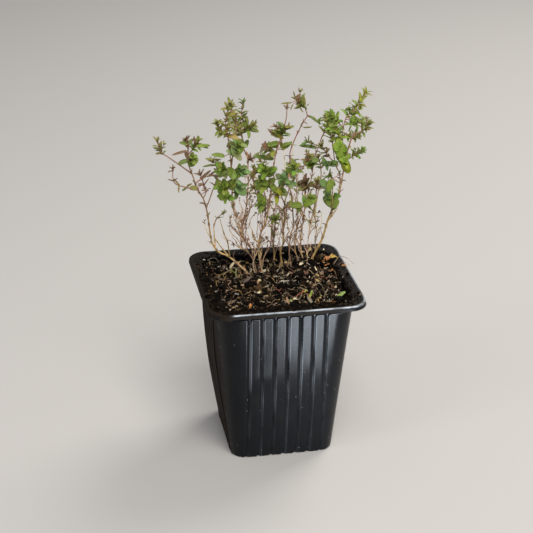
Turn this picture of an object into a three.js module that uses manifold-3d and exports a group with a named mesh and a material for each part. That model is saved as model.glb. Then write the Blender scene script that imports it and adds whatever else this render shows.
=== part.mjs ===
// A young small-leaved herb growing in a square ribbed nursery pot.
// Millimetres, +Z up. The origin is the middle of the pot's flat underside, and one ribbed
// face of the pot looks along -Y.

import * as THREE from 'three';
import { mergeVertices } from 'three/addons/utils/BufferGeometryUtils.js';
import Module from 'manifold-3d';

const wasm = await Module();
wasm.setup();

// Clearance between two pieces that touch on the real thing.
const gap = 0.3;

// Pot: a thin tapering shell with a flat flange and a lip turned down around it.
const potHeight = 100;
const rimWidth = 90;
const rimCorner = 10;
const mouthWidth = 79.8;
const mouthCorner = 13;
const baseWidth = 60.2;
const baseCorner = 9;
const wall = 0.9;
const floorThickness = 1.2;
const footChamfer = 0.8;
const flangeThickness = 1;
const flangeDrop = 0.4;
const lipHeight = 2.8;
const lipThickness = 0.9;
const groovesPerFace = 7;
const groovePitch = 7.29;
const grooveDepth = 0.9;
const grooveMouth = 3;
const grooveFloor = 1.6;
const panelTop = 92;
const neckBottom = 93.2;
const drainHole = 8;
const drainOffset = 15;

// Soil: fills the pot, lowest in the far left corner.
const soilLevel = 95;
const soilRise = 1.4;
const soilBump = 0.8;
const soilCorner = 10;
const soilShoulder = 5;
const rootDepth = 8;
const stemRise = 1;

// Litter lies half bedded, its middle this far above the soil surface.
const litterLift = 0.4;

// Shoots and leaves: an axis starts no nearer than `nearestStart` to the middle of its stem, its
// last leaf pair stands at the fraction `lastPair`, and leaves lean out and forward and get smaller.
const nearestStart = 0.6;
const lastPair = 0.97;
const axisFoot = 0.42;
const axisTip = 0.3;
const leafOut = 0.85;
const leafForward = 0.5;
const leafShrink = 0.4;
const leafThickness = 0.6;
const leafWidest = 0.45;
const axisSides = 4;
const startStep = 0.15;

// Side twigs of the woody stems, and how many flat sides a stem and a twig have.
const twigFoot = 0.5;
const twigTip = 0.3;
const stemSides = 6;
const twigSides = 5;

// Woody stems: each route runs from the soil surface up, and side twigs leave the same stem.
const stems = {
  stem_left: {
    foot: 0.9, tip: 0.45,
    route: [[-13, 18, 95], [-23, 20, 106], [-29, 21, 109], [-32, 21, 113], [-34, 20, 120], [-35, 19, 127],
      [-37, 17, 139], [-39, 15, 146], [-42, 13, 152], [-46, 11, 163], [-48, 10, 170], [-48, 9, 177]],
    twigs: [
      [[-23, 20, 106], [-26, 24, 109], [-29, 27, 113], [-31, 30, 116]],
      [[-23, 20, 106], [-25, 16, 118], [-27, 15, 123], [-30, 12, 134]],
      [[-31, 21, 111], [-31, 25, 115], [-31, 28, 123], [-29, 31, 126]],
    ],
  },
  stem_leaning: {
    foot: 0.8, tip: 0.45,
    route: [[-9, 14, 95], [-10, 15, 103], [-9, 17, 109], [-15, 18, 118], [-17, 16, 130], [-20, 15, 134],
      [-22, 14, 140], [-23, 12, 147], [-23, 10, 154], [-24, 8, 165], [-25, 6, 175], [-26, 4, 184]],
    twigs: [[[-17, 16, 130], [-13, 13, 136], [-13, 11, 142]]],
  },
  stem_tall: {
    foot: 0.8, tip: 0.45,
    route: [[-7, 21, 95], [-9, 22, 103], [-12, 24, 107], [-15, 25, 110], [-15, 28, 119], [-13, 30, 125],
      [-11, 32, 133], [-10, 34, 141], [-9, 38, 158], [-11, 39, 165], [-12, 40, 172]],
    twigs: [[[-15, 27, 115], [-20, 31, 121], [-21, 33, 127]]],
  },
  stem_middle: {
    foot: 1, tip: 0.45,
    route: [[-4, 16, 95], [-6, 15, 104], [-7, 14, 113], [-6, 12, 124], [-4, 11, 129], [-3, 9, 136],
      [-3, 7, 143], [-2, 4, 151], [-1, 1, 160], [-2, -1, 167], [-1, -6, 180], [1, -9, 188]],
    twigs: [[[-7, 13, 117], [-11, 10, 122], [-12, 9, 128]]],
  },
  stem_back: {
    foot: 0.7, tip: 0.4,
    route: [[-2, 28, 95], [0, 32, 100], [4, 35, 105], [6, 41, 115], [8, 44, 123], [13, 49, 134],
      [17, 51, 139]],
    twigs: [[[8, 44, 123], [4, 51, 130], [3, 55, 138]]],
  },
  stem_short: {
    foot: 0.8, tip: 0.5,
    route: [[6, 33, 95], [6, 33, 101], [5, 31, 108], [5, 29, 116], [5, 27, 122]],
    twigs: [],
  },
  stem_front: {
    foot: 0.9, tip: 0.4,
    route: [[9, 25, 95], [8, 24, 103], [8, 22, 109], [9, 20, 113], [8, 17, 122], [8, 14, 129], [7, 9, 142],
      [8, 6, 150], [10, 4, 156], [12, 2, 161]],
    twigs: [[[8, 12, 136], [3, 8, 141], [1, 7, 145]]],
  },
  stem_dark: {
    foot: 0.7, tip: 0.4,
    route: [[14, 22, 95], [13, 23, 105], [14, 24, 116], [16, 27, 121], [16, 33, 136], [15, 40, 149],
      [17, 43, 155], [18, 46, 161], [25, 50, 174], [29, 52, 179]],
    twigs: [[[16, 30, 128], [12, 34, 132], [10, 36, 138]]],
  },
  stem_pale: {
    foot: 0.7, tip: 0.4,
    route: [[20, 31, 95], [18, 30, 103], [18, 30, 110], [18, 26, 123], [18, 24, 130], [17, 22, 138],
      [16, 19, 151], [17, 18, 157], [19, 16, 161]],
    twigs: [[[18, 28, 117], [21, 24, 122], [22, 22, 128]]],
  },
  stem_olive: {
    foot: 0.7, tip: 0.4,
    route: [[23, 30, 95], [22, 32, 102], [22, 34, 109], [24, 36, 121], [26, 38, 130], [28, 40, 138],
      [30, 41, 147], [31, 42, 155], [34, 43, 163], [36, 44, 168]],
    twigs: [[[24, 36, 121], [21, 41, 127], [20, 43, 134]]],
  },
  stem_slim: {
    foot: 0.5, tip: 0.35,
    route: [[24, 23, 95], [24, 24, 105], [25, 25, 114], [26, 26, 121], [28, 24, 135], [28, 21, 143]],
    twigs: [],
  },
  stem_thin: {
    foot: 0.5, tip: 0.35,
    route: [[31, 34, 95], [32, 37, 104], [33, 39, 109], [33, 45, 120], [35, 48, 127], [38, 52, 142]],
    twigs: [[[33, 45, 120], [29, 49, 125], [28, 52, 132]]],
  },
  stem_right: {
    foot: 1.1, tip: 0.5,
    route: [[27, 27, 95], [33, 25, 111], [36, 24, 123], [38, 23, 129], [39, 22, 133], [41, 21, 139],
      [43, 19, 152], [44, 17, 164], [45, 15, 171], [46, 12, 178], [48, 9, 182]],
    twigs: [
      [[36, 24, 123], [40, 27, 126], [43, 29, 129]],
      [[38, 23, 130], [36, 14, 137], [35, 10, 146], [35, 8, 153]],
    ],
  },
  branch_right_back: {
    foot: 0.6, tip: 0.4,
    route: [[40.6, 23.4, 135], [43, 27, 140], [44, 30, 149], [42, 34, 155], [41, 35, 163]],
    twigs: [],
  },
  branch_right_top: {
    foot: 0.5, tip: 0.4,
    route: [[43.6, 19.8, 158], [44, 22, 164], [44, 26, 172], [45, 29, 178], [47, 31, 184]],
    twigs: [],
  },
};

// Leafy shoots: a green axis whose leaves stand in crossed pairs from the fraction `bare` up.
// `leaf` and `broad` are the largest leaf's length and its width as a share of that length.
const shoots = {
  shoot_far_left: { route: [[-46, 11, 163], [-53, 7, 170], [-60, 2, 177], [-64, 0, 181], [-66, -1, 188]],
    bare: 0.15, pairs: 5, leaf: 5, broad: 0.35, turn: 0.3 },
  shoot_low_left: { route: [[-42, 13, 152], [-51, 7, 157], [-57, 2, 162], [-58, 0, 171]],
    bare: 0.15, pairs: 4, leaf: 4.6, broad: 0.35, turn: 0.9 },
  shoot_left_top: { route: [[-48, 9, 177], [-48, 8, 180], [-49, 8, 184]],
    bare: 0.4, pairs: 2, leaf: 5, broad: 0.5, turn: 0.2 },
  shoot_left_fork: { route: [[-48, 9, 175], [-45, 10, 178], [-42, 10, 183]],
    bare: 0.35, pairs: 3, leaf: 4.6, broad: 0.45, turn: 0.8 },
  shoot_left_arch: { route: [[-37, 17, 139], [-33, 22, 146], [-28, 27, 157], [-29, 28, 161], [-32, 29, 163]],
    bare: 0.45, pairs: 3, leaf: 6, broad: 0.3, turn: 0.5 },
  shoot_left_dark: { route: [[-39, 15, 146], [-37, 17, 149], [-38, 18, 153], [-40, 19, 159]],
    bare: 0.35, pairs: 2, leaf: 5.5, broad: 0.25, turn: 0.1 },
  shoot_broad_a: { route: [[-25, 6, 175], [-23, 4, 178], [-21, 3, 181]],
    bare: 0.35, pairs: 2, leaf: 7.5, broad: 0.55, turn: 0.2 },
  shoot_broad_b: { route: [[-24, 8, 165], [-27, 6, 165], [-30, 5, 167]],
    bare: 0.35, pairs: 2, leaf: 7, broad: 0.6, turn: 1.1 },
  shoot_broad_c: { route: [[-24, 8, 164], [-22, 6, 165], [-19, 4, 166]],
    bare: 0.4, pairs: 2, leaf: 7, broad: 0.55, turn: 0.4 },
  shoot_broad_d: { route: [[-23, 10, 153], [-27, 7, 155], [-30, 5, 157]],
    bare: 0.35, pairs: 2, leaf: 7.5, broad: 0.6, turn: 0.9 },
  shoot_broad_e: { route: [[-23, 12, 149], [-21, 9, 152], [-19, 7, 155]],
    bare: 0.4, pairs: 2, leaf: 7, broad: 0.6, turn: 0.1 },
  shoot_tall_left: { route: [[-26, 4, 184], [-28, 2, 192], [-28, 0, 199], [-26, -2, 207]],
    bare: 0.1, pairs: 5, leaf: 5, broad: 0.35, turn: 0.6 },
  shoot_tall_side: { route: [[-27, 3, 188], [-31, 1, 191], [-33, 0, 196]],
    bare: 0.35, pairs: 3, leaf: 4.5, broad: 0.4, turn: 0.2 },
  shoot_tall_right: { route: [[-12, 40, 172], [-13, 41, 179], [-12, 43, 185], [-11, 44, 192]],
    bare: 0.12, pairs: 5, leaf: 5.2, broad: 0.35, turn: 0.85 },
  shoot_tall_fork: { route: [[-13, 41, 176], [-10, 39, 178], [-7, 37, 180]],
    bare: 0.4, pairs: 2, leaf: 5, broad: 0.4, turn: 0.4 },
  shoot_middle_a: { route: [[-2, -1, 166], [-5, -3, 167], [-8, -4, 169]],
    bare: 0.35, pairs: 2, leaf: 6.5, broad: 0.55, turn: 0.3 },
  shoot_middle_b: { route: [[-2, 3, 154], [-5, 1, 157], [-8, 0, 160]],
    bare: 0.35, pairs: 2, leaf: 6.5, broad: 0.5, turn: 0.9 },
  shoot_middle_c: { route: [[-2, 4, 150], [1, 2, 151], [4, 1, 153]],
    bare: 0.4, pairs: 2, leaf: 6, broad: 0.45, turn: 0.2 },
  shoot_middle_d: { route: [[-3, 8, 140], [-6, 6, 143], [-8, 4, 146]],
    bare: 0.35, pairs: 2, leaf: 6, broad: 0.55, turn: 0.6 },
  shoot_middle_e: { route: [[-1, -6, 179], [-4, -7, 181], [-7, -8, 183]],
    bare: 0.35, pairs: 2, leaf: 5.5, broad: 0.45, turn: 0.2 },
  shoot_pink: { route: [[1, -9, 188], [2, -11, 195], [3, -12, 201], [3, -13, 206]],
    bare: 0.1, pairs: 4, leaf: 5.5, broad: 0.35, turn: 0.8 },
  shoot_dark_tip: { route: [[29, 52, 179], [27, 52, 185], [24, 51, 189], [24, 51, 194]],
    bare: 0.3, pairs: 3, leaf: 5, broad: 0.4, turn: 0.3 },
  shoot_front_low: { route: [[10, 4, 156], [7, 3, 158], [4, 1, 160]],
    bare: 0.35, pairs: 2, leaf: 6.5, broad: 0.5, turn: 0.1 },
  shoot_front_top: { route: [[12, 2, 161], [11, 1, 164], [10, 0, 168]],
    bare: 0.35, pairs: 2, leaf: 6, broad: 0.5, turn: 0.9 },
  shoot_olive_low: { route: [[30, 41, 148], [29, 40, 151], [28, 39, 155]],
    bare: 0.35, pairs: 2, leaf: 6, broad: 0.5, turn: 0.4 },
  shoot_olive_top: { route: [[36, 44, 168], [39, 46, 173], [41, 48, 181]],
    bare: 0.2, pairs: 4, leaf: 5.2, broad: 0.4, turn: 0.7 },
  shoot_right_broad: { route: [[41, 21, 139], [38, 19, 140], [35, 18, 142]],
    bare: 0.4, pairs: 1, leaf: 8.5, broad: 0.6, turn: 0.2 },
  shoot_right_tip: { route: [[48, 9, 182], [51, 7, 184], [54, 5, 189]],
    bare: 0.3, pairs: 3, leaf: 5, broad: 0.4, turn: 0.5 },
  shoot_right_low: { route: [[44, 17, 164], [46, 15, 165], [49, 13, 168], [52, 11, 171]],
    bare: 0.35, pairs: 3, leaf: 4.6, broad: 0.4, turn: 0.1 },
  shoot_right_bright: { route: [[44, 23, 165], [42, 20, 168], [40, 18, 171]],
    bare: 0.45, pairs: 1, leaf: 8, broad: 0.6, turn: 0.6 },
  shoot_right_back: { route: [[41, 35, 163], [40, 37, 170], [38, 39, 176]],
    bare: 0.3, pairs: 3, leaf: 5.5, broad: 0.45, turn: 0.3 },
  shoot_right_inner: { route: [[44, 26, 172], [41, 24, 176], [38, 23, 181]],
    bare: 0.3, pairs: 3, leaf: 5.5, broad: 0.45, turn: 0.9 },
  shoot_right_top: { route: [[47, 31, 184], [51, 33, 187], [55, 35, 191], [60, 37, 196]],
    bare: 0.2, pairs: 4, leaf: 5.5, broad: 0.4, turn: 0.5 },
  shoot_short_tuft: { route: [[5, 27, 122], [5, 26, 124], [5, 25, 127]],
    bare: 0.3, pairs: 2, leaf: 4.5, broad: 0.4, turn: 0.4 },
  shoot_back: { route: [[17, 51, 139], [19, 53, 144], [21, 55, 150]],
    bare: 0.25, pairs: 3, leaf: 5.5, broad: 0.45, turn: 0.6 },
  shoot_thin: { route: [[38, 52, 142], [38, 54, 146], [37, 56, 151]],
    bare: 0.3, pairs: 2, leaf: 5.5, broad: 0.4, turn: 0.2 },
};

// Litter on the soil: centre [x, y], direction in degrees, length, width and thickness.
const litter = {
  chip_orange: { at: [34, 25], turn: 20, size: [7, 4.4, 2.2], colour: 0xb8662a },
  leaf_yellow: { at: [34, 31.5], turn: -35, size: [6.5, 3.6, 1.8], colour: 0xc8a04e },
  leaf_tan: { at: [-9, 5], turn: 70, size: [7.5, 4, 2], colour: 0xb79a66 },
  root_pale: { at: [8, 2], turn: 12, size: [11, 2.4, 1.8], colour: 0xb8a58c },
  leaf_fallen: { at: [32, -24], turn: 50, size: [9, 3.2, 1.6], colour: 0x76a343 },
  bark_strip: { at: [20, 8], turn: 115, size: [10, 2.6, 2], colour: 0x6e4a33 },
  twig_red: { at: [29.5, -1], turn: 125, size: [12, 1.6, 1.6], colour: 0xa4603f },
};

// Colours.
const looks = {
  pot: { color: 0x17191c, roughness: 0.38 },
  soil: { color: 0x1d1611, roughness: 1 },
  wood: { color: 0x9c7a4c, roughness: 0.75 },
  leaf: { color: 0x5f8a35, roughness: 0.55 },
};

const solidsPlaced = [];
const group = new THREE.Group();

// ---- Meshes and solids ----

// Flat list of triangles' corners for a skin through stacked rings, closed by a fan at each end.
function stackedSkin(rings) {
  const corners = [];
  const count = rings[0].length;
  for (let r = 0; r + 1 < rings.length; r++) {
    for (let i = 0; i < count; i++) {
      const next = (i + 1) % count;
      corners.push(rings[r][i], rings[r][next], rings[r + 1][next]);
      corners.push(rings[r][i], rings[r + 1][next], rings[r + 1][i]);
    }
  }
  addFan(corners, rings[0], true);
  addFan(corners, rings[rings.length - 1], false);
  return cornersGeometry(corners);
}

function addFan(corners, ring, reversed) {
  const middle = new THREE.Vector3();
  ring.forEach((point) => middle.addScaledVector(point, 1 / ring.length));
  ring.forEach((point, i) => {
    const next = ring[(i + 1) % ring.length];
    if (reversed) corners.push(middle, next, point);
    else corners.push(middle, point, next);
  });
}

function cornersGeometry(corners) {
  return new THREE.BufferGeometry().setFromPoints(corners);
}

// A closed geometry as a solid that can be joined and cut.
function toSolid(geometry) {
  const bare = geometry.clone();
  bare.deleteAttribute('normal');
  bare.deleteAttribute('uv');
  const merged = mergeVertices(bare, 1e-4);
  return new wasm.Manifold(new wasm.Mesh({
    numProp: 3,
    vertProperties: new Float32Array(merged.attributes.position.array),
    triVerts: new Uint32Array(merged.index.array),
  }));
}

function toGeometry(solid) {
  const mesh = solid.getMesh();
  const geometry = new THREE.BufferGeometry();
  geometry.setAttribute('position', new THREE.BufferAttribute(mesh.vertProperties, 3));
  geometry.setIndex(new THREE.BufferAttribute(mesh.triVerts, 1));
  geometry.computeVertexNormals();
  return geometry;
}

function addPiece(name, solid, look) {
  const mesh = new THREE.Mesh(toGeometry(solid), new THREE.MeshStandardMaterial({ metalness: 0, ...look }));
  mesh.name = name;
  group.add(mesh);
}

// ---- Pot ----

const bodyHalf = (z) => (baseWidth + (mouthWidth - baseWidth) * z / potHeight) / 2;
const bodyCorner = (z) => baseCorner + (mouthCorner - baseCorner) * z / potHeight;

// How far one face lies from the middle at the distance `x` along it: flat, then the corner's arc.
function facePlane(x, half, corner) {
  const past = Math.max(Math.abs(x) - (half - corner), 0);
  return half - corner + Math.sqrt(corner * corner - past * past);
}

// One ring of the ribbed wall, counter-clockwise: on each face the grooves' edges, then the corner.
function ribbedRing(z, half, corner, depth) {
  const across = [];
  for (let g = 0; g < groovesPerFace; g++) {
    const middle = (g - (groovesPerFace - 1) / 2) * groovePitch;
    across.push([middle - grooveMouth / 2, 0], [middle - grooveFloor / 2, depth]);
    across.push([middle + grooveFloor / 2, depth], [middle + grooveMouth / 2, 0]);
  }
  const bends = [22, 33.5, 45].map((degrees) => half - corner + corner * Math.sin(degrees * Math.PI / 180));
  bends.slice(0, 2).forEach((x) => across.unshift([-x, 0]));
  bends.forEach((x) => across.push([x, 0]));
  const ring = [];
  for (let face = 0; face < 4; face++) {
    const turn = face * Math.PI / 2;
    for (const [x, sunk] of across) {
      const out = facePlane(x, half, corner) - sunk;
      ring.push(new THREE.Vector3(x, -out, z).applyAxisAngle(new THREE.Vector3(0, 0, 1), turn));
    }
  }
  return ring;
}

// A plain rounded square ring, counter-clockwise.
function squareRing(z, half, corner, steps = 5) {
  const ring = [];
  for (let side = 0; side < 4; side++) {
    for (let i = 0; i <= steps; i++) {
      const angle = (side + i / steps) * Math.PI / 2;
      const sx = [1, -1, -1, 1][side];
      const sy = [1, 1, -1, -1][side];
      const x = sx * (half - corner) + corner * Math.cos(angle);
      const y = sy * (half - corner) + corner * Math.sin(angle);
      ring.push(new THREE.Vector3(x, y, z));
    }
  }
  return ring;
}

// The wall's proud panels end below the rim, and the neck above them is level with the grooves.
const neckHalf = (z) => bodyHalf(z) - grooveDepth;
const neckCorner = (z) => bodyCorner(z) - grooveDepth;

function potSolid() {
  const bodyTop = potHeight - flangeDrop - flangeThickness / 2;
  const shell = toSolid(stackedSkin([
    ribbedRing(0, bodyHalf(0) - footChamfer, baseCorner, grooveDepth),
    ribbedRing(footChamfer, bodyHalf(0), baseCorner, grooveDepth),
    ribbedRing(panelTop, bodyHalf(panelTop), bodyCorner(panelTop), grooveDepth),
    ribbedRing(neckBottom, neckHalf(neckBottom), neckCorner(neckBottom), 0),
    ribbedRing(bodyTop, neckHalf(bodyTop), neckCorner(bodyTop), 0),
    ribbedRing(bodyTop, neckHalf(bodyTop) - wall, neckCorner(bodyTop) - wall, 0),
    ribbedRing(neckBottom, neckHalf(neckBottom) - wall, neckCorner(neckBottom) - wall, 0),
    ribbedRing(panelTop, bodyHalf(panelTop) - wall, bodyCorner(panelTop) - wall, grooveDepth),
    ribbedRing(floorThickness, bodyHalf(0) - wall, baseCorner - wall, grooveDepth),
  ]));
  return shell.add(flangeSolid()).subtract(drainHoles());
}

// The flange and its lip: a closed profile carried round the rounded square.
function flangeSolid() {
  const half = rimWidth / 2;
  const inner = neckHalf(potHeight) - wall;
  const innerCorner = neckCorner(potHeight) - wall;
  const under = potHeight - flangeDrop - flangeThickness;
  const rings = [
    squareRing(under, inner, innerCorner),
    squareRing(under, half - lipThickness, rimCorner - lipThickness),
    squareRing(potHeight - lipHeight, half - lipThickness, rimCorner - lipThickness),
    squareRing(potHeight - lipHeight, half, rimCorner),
    squareRing(potHeight - flangeThickness / 2, half, rimCorner),
    squareRing(potHeight, half - flangeThickness / 2, rimCorner - flangeThickness / 2),
    squareRing(potHeight, half - 2 * lipThickness, rimCorner - 2 * lipThickness),
    squareRing(potHeight - flangeDrop, inner, innerCorner),
  ];
  const corners = [];
  rings.forEach((ring, r) => {
    const above = rings[(r + 1) % rings.length];
    ring.forEach((point, i) => {
      const next = (i + 1) % ring.length;
      corners.push(point, ring[next], above[next], point, above[next], above[i]);
    });
  });
  return toSolid(cornersGeometry(corners));
}

function drainHoles() {
  let holes = null;
  for (const x of [-drainOffset, drainOffset]) {
    for (const y of [-drainOffset, drainOffset]) {
      const hole = new THREE.CylinderGeometry(drainHole / 2, drainHole / 2, 4 * floorThickness, 12);
      hole.rotateX(Math.PI / 2);
      hole.translate(x, y, 0);
      holes = holes ? holes.add(toSolid(hole)) : toSolid(hole);
    }
  }
  return holes;
}

// ---- Soil ----

// Height of the bumpy soil surface.
function soilTop(x, y) {
  const slope = soilRise * (x / 38 - y / 80);
  const bumps = Math.sin(x / 5.3 + 1) * Math.cos(y / 4.7) + 0.4 * Math.sin((x + y) / 2.9);
  return soilLevel + slope + soilBump * bumps;
}

function soilSolid() {
  const innerHalf = (z) => bodyHalf(z) - wall - grooveDepth - gap;
  const bottom = floorThickness + gap;
  const topHalf = innerHalf(soilLevel - soilShoulder);
  const rings = [
    squareRing(bottom, innerHalf(bottom) - gap, soilCorner - 1),
    squareRing(soilLevel - soilShoulder, topHalf, soilCorner),
  ];
  for (const share of [1, 0.84, 0.67, 0.5, 0.33, 0.17]) {
    const ring = squareRing(0, topHalf * share, soilCorner * share);
    ring.forEach((point) => { point.z = soilTop(point.x, point.y); });
    rings.push(ring);
  }
  return toSolid(stackedSkin(rings));
}

// ---- Stems, shoots and leaves ----

const vector = (xyz) => new THREE.Vector3(...xyz);

// A round tapering tube through the points, with flat ends.
function taperedTube(points, foot, tip, sides) {
  const rings = [];
  let across = new THREE.Vector3(1, 0, 0);
  points.forEach((point, i) => {
    const before = points[Math.max(i - 1, 0)];
    const after = points[Math.min(i + 1, points.length - 1)];
    const along = after.clone().sub(before).normalize();
    if (Math.abs(across.dot(along)) > 0.9) across = new THREE.Vector3(0, 1, 0);
    across.addScaledVector(along, -across.dot(along)).normalize();
    const beside = along.clone().cross(across);
    const radius = foot + (tip - foot) * i / (points.length - 1);
    const ring = [];
    for (let s = 0; s < sides; s++) {
      const angle = s / sides * Math.PI * 2;
      ring.push(point.clone()
        .addScaledVector(across, radius * Math.cos(angle))
        .addScaledVector(beside, radius * Math.sin(angle)));
    }
    rings.push(ring);
  });
  return toSolid(stackedSkin(rings));
}

// The stem with its side twigs. The root end goes down into the soil where the stem has one.
function stemSolid(stem, grow = 0) {
  const route = stem.route.map(vector);
  if (stem.route[0][2] <= soilLevel) {
    const foot = route[0];
    foot.z = soilTop(foot.x, foot.y) + stemRise;
    route.unshift(new THREE.Vector3(foot.x, foot.y, soilLevel - rootDepth - grow));
  }
  let solid = taperedTube(route, stem.foot + grow, stem.tip + grow, stemSides);
  for (const twig of stem.twigs) {
    solid = solid.add(taperedTube(twig.map(vector), twigFoot + grow, twigTip + grow, twigSides));
  }
  return solid;
}

// A leaf as a thin lens between its stalk end, its tip and its two sides.
function leafSolid(base, along, side, length, width, thickness) {
  const normal = along.clone().cross(side);
  const middle = base.clone().addScaledVector(along, length * leafWidest);
  const outline = [
    base,
    middle.clone().addScaledVector(side, -width / 2),
    base.clone().addScaledVector(along, length),
    middle.clone().addScaledVector(side, width / 2),
  ];
  const top = middle.clone().addScaledVector(normal, thickness / 2);
  const under = middle.clone().addScaledVector(normal, -thickness / 2);
  const corners = [];
  outline.forEach((point, i) => {
    const next = outline[(i + 1) % outline.length];
    corners.push(point, next, top, next, point, under);
  });
  return toSolid(cornersGeometry(corners));
}

// True where the solid comes into one that is already placed.
function meets(solid, others) {
  return others.some((other) => !solid.intersect(other).isEmpty());
}

// A shoot's axis, started as near its stem as the gap allows.
function clearAxis(curve, places) {
  const tube = (start, grow) => {
    const points = [start / curve.getLength(), ...places, 1].map((t) => curve.getPointAt(t));
    return taperedTube(points, axisFoot + grow, axisTip + grow, axisSides);
  };
  for (let start = nearestStart; start < places[0] * curve.getLength(); start += startStep) {
    if (!meets(tube(start - gap, gap), solidsPlaced)) return tube(start, 0);
  }
  throw new Error('a shoot has no clear way past the other pieces');
}

// A shoot: its axis starts clear of the stem, and a leaf that would touch another piece is left off.
function shootSolid(shoot) {
  const curve = new THREE.CatmullRomCurve3(shoot.route.map(vector));
  const places = [];
  for (let p = 0; p < shoot.pairs; p++) {
    places.push(THREE.MathUtils.lerp(shoot.bare, lastPair, shoot.pairs > 1 ? p / (shoot.pairs - 1) : 0.5));
  }
  let solid = clearAxis(curve, places);
  places.forEach((t, p) => {
    const along = curve.getTangentAt(t);
    const across = new THREE.Vector3(0, 0, 1).cross(along).normalize();
    across.applyAxisAngle(along, shoot.turn + p * Math.PI / 2);
    const size = shoot.leaf * (1 - leafShrink * t);
    for (const hand of [1, -1]) {
      const out = across.clone().multiplyScalar(hand * leafOut).addScaledVector(along, leafForward);
      out.normalize();
      const side = out.clone().cross(along).normalize();
      const base = curve.getPointAt(t);
      const width = size * shoot.broad;
      const leaf = leafSolid(base, out, side, size, width, leafThickness);
      const marginBase = base.clone().addScaledVector(out, -gap);
      const marginThickness = leafThickness + 2 * gap;
      const margin = leafSolid(marginBase, out, side, size + 2 * gap, width + 4 * gap, marginThickness);
      if (!meets(margin, solidsPlaced)) solid = solid.add(leaf);
    }
  });
  return solid;
}

// ---- Litter ----

// A thin bent scrap half bedded in the soil.
function litterSolid(piece, grow = 0) {
  const [length, width, thickness] = piece.size;
  const turn = THREE.MathUtils.degToRad(piece.turn);
  const along = new THREE.Vector3(Math.cos(turn), Math.sin(turn), 0);
  const side = new THREE.Vector3(-Math.sin(turn), Math.cos(turn), 0);
  const [x, y] = piece.at;
  const base = new THREE.Vector3(x, y, soilTop(x, y) + litterLift);
  base.addScaledVector(along, -length / 2 - grow);
  return leafSolid(base, along, side, length + 2 * grow, width + 4 * grow, thickness + 2 * grow);
}

// ---- The object ----

const pot = potSolid();
addPiece('pot', pot, looks.pot);
solidsPlaced.push(pot);

let soil = soilSolid();
for (const stem of Object.values(stems)) {
  soil = soil.subtract(stemSolid(stem, gap));
}
for (const piece of Object.values(litter)) {
  soil = soil.subtract(litterSolid(piece, 2 * gap));
}
addPiece('soil', soil, looks.soil);
solidsPlaced.push(soil);

for (const [name, piece] of Object.entries(litter)) {
  const solid = litterSolid(piece);
  addPiece(name, solid, { color: piece.colour, roughness: 0.8 });
  solidsPlaced.push(solid);
}
for (const [name, stem] of Object.entries(stems)) {
  const solid = stemSolid(stem);
  addPiece(name, solid, looks.wood);
  solidsPlaced.push(solid);
}
for (const [name, shoot] of Object.entries(shoots)) {
  const solid = shootSolid(shoot);
  addPiece(name, solid, looks.leaf);
  solidsPlaced.push(solid);
}

export default group;
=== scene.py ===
# A young small-leaved herb in a square ribbed nursery pot: its looks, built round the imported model.
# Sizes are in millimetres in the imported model's frame. makePiece writes them as metres.

import bpy
import numpy as np
from mathutils import Matrix


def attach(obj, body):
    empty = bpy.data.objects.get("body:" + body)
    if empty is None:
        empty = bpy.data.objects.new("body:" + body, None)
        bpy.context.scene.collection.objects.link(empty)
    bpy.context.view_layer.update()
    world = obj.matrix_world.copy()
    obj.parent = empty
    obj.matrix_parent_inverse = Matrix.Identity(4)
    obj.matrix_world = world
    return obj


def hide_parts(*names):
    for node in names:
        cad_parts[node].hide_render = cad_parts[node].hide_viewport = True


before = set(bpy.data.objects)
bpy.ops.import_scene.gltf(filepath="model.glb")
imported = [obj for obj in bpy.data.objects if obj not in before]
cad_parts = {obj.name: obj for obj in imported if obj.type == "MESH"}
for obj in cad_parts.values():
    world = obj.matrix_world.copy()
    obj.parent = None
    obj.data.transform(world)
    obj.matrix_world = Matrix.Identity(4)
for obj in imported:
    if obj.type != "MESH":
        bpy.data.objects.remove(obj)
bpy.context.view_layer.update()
mm = 0.001
print("frame loaded:", len(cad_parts), "nodes")


# Arrays

def unit(v):
    # each vector divided by its own length
    return v / np.maximum(np.linalg.norm(v, axis=-1, keepdims=True), 1e-9)


def squareTo(along, v):
    # the part of v that is square to along, as a unit vector
    return unit(v - (v * along).sum(-1, keepdims=True) * along)


def smoothStep(low, high, x):
    # 0 below low, 1 above high, and 3t^2 - 2t^3 between them
    t = np.clip((x - low) / (high - low), 0, 1)
    return t * t * (3 - 2 * t)


def mix(a, b, t):
    # the straight way from a to b, t of it gone
    return a + (b - a) * t


def rowsOf(colours):
    return np.array(colours, float)


def cellRandom(cells, seed):
    # one number from 0 to 1 for each whole-number cell: its three numbers times large primes, and the
    # bits of the result stirred twice
    h = cells[..., 0] * 73856093 ^ cells[..., 1] * 19349663 ^ cells[..., 2] * 83492791 ^ (seed + 7) * 40503
    h &= 0xFFFFFFFF
    for _ in range(2):
        h = ((h >> 16) ^ h) * 0x45D9F3B & 0xFFFFFFFF
    return ((h >> 16) ^ h) / 0xFFFFFFFF


def softNoise(points, size, seed, octaves=1, rough=0.5):
    # from -1 to 1: random numbers on a lattice of cubes `size` wide, blended smoothly between the eight
    # corners of a point's cube; each further octave halves the size and keeps `rough` of the height
    total = np.zeros(points.shape[:-1])
    for octave in range(octaves):
        place = points / size * 2 ** octave
        low = np.floor(place).astype(np.int64)
        share = place - low
        share = share * share * (3 - 2 * share)
        for corner in np.ndindex(2, 2, 2):
            weight = np.prod(np.where(corner, share, 1 - share), axis=-1)
            total += rough ** octave * weight * (2 * cellRandom(low + corner, seed + octave) - 1)
    return total


def flat(x, y):
    # points at height 0 over x and y
    return np.stack([x, y, np.zeros_like(x)], -1)


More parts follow.
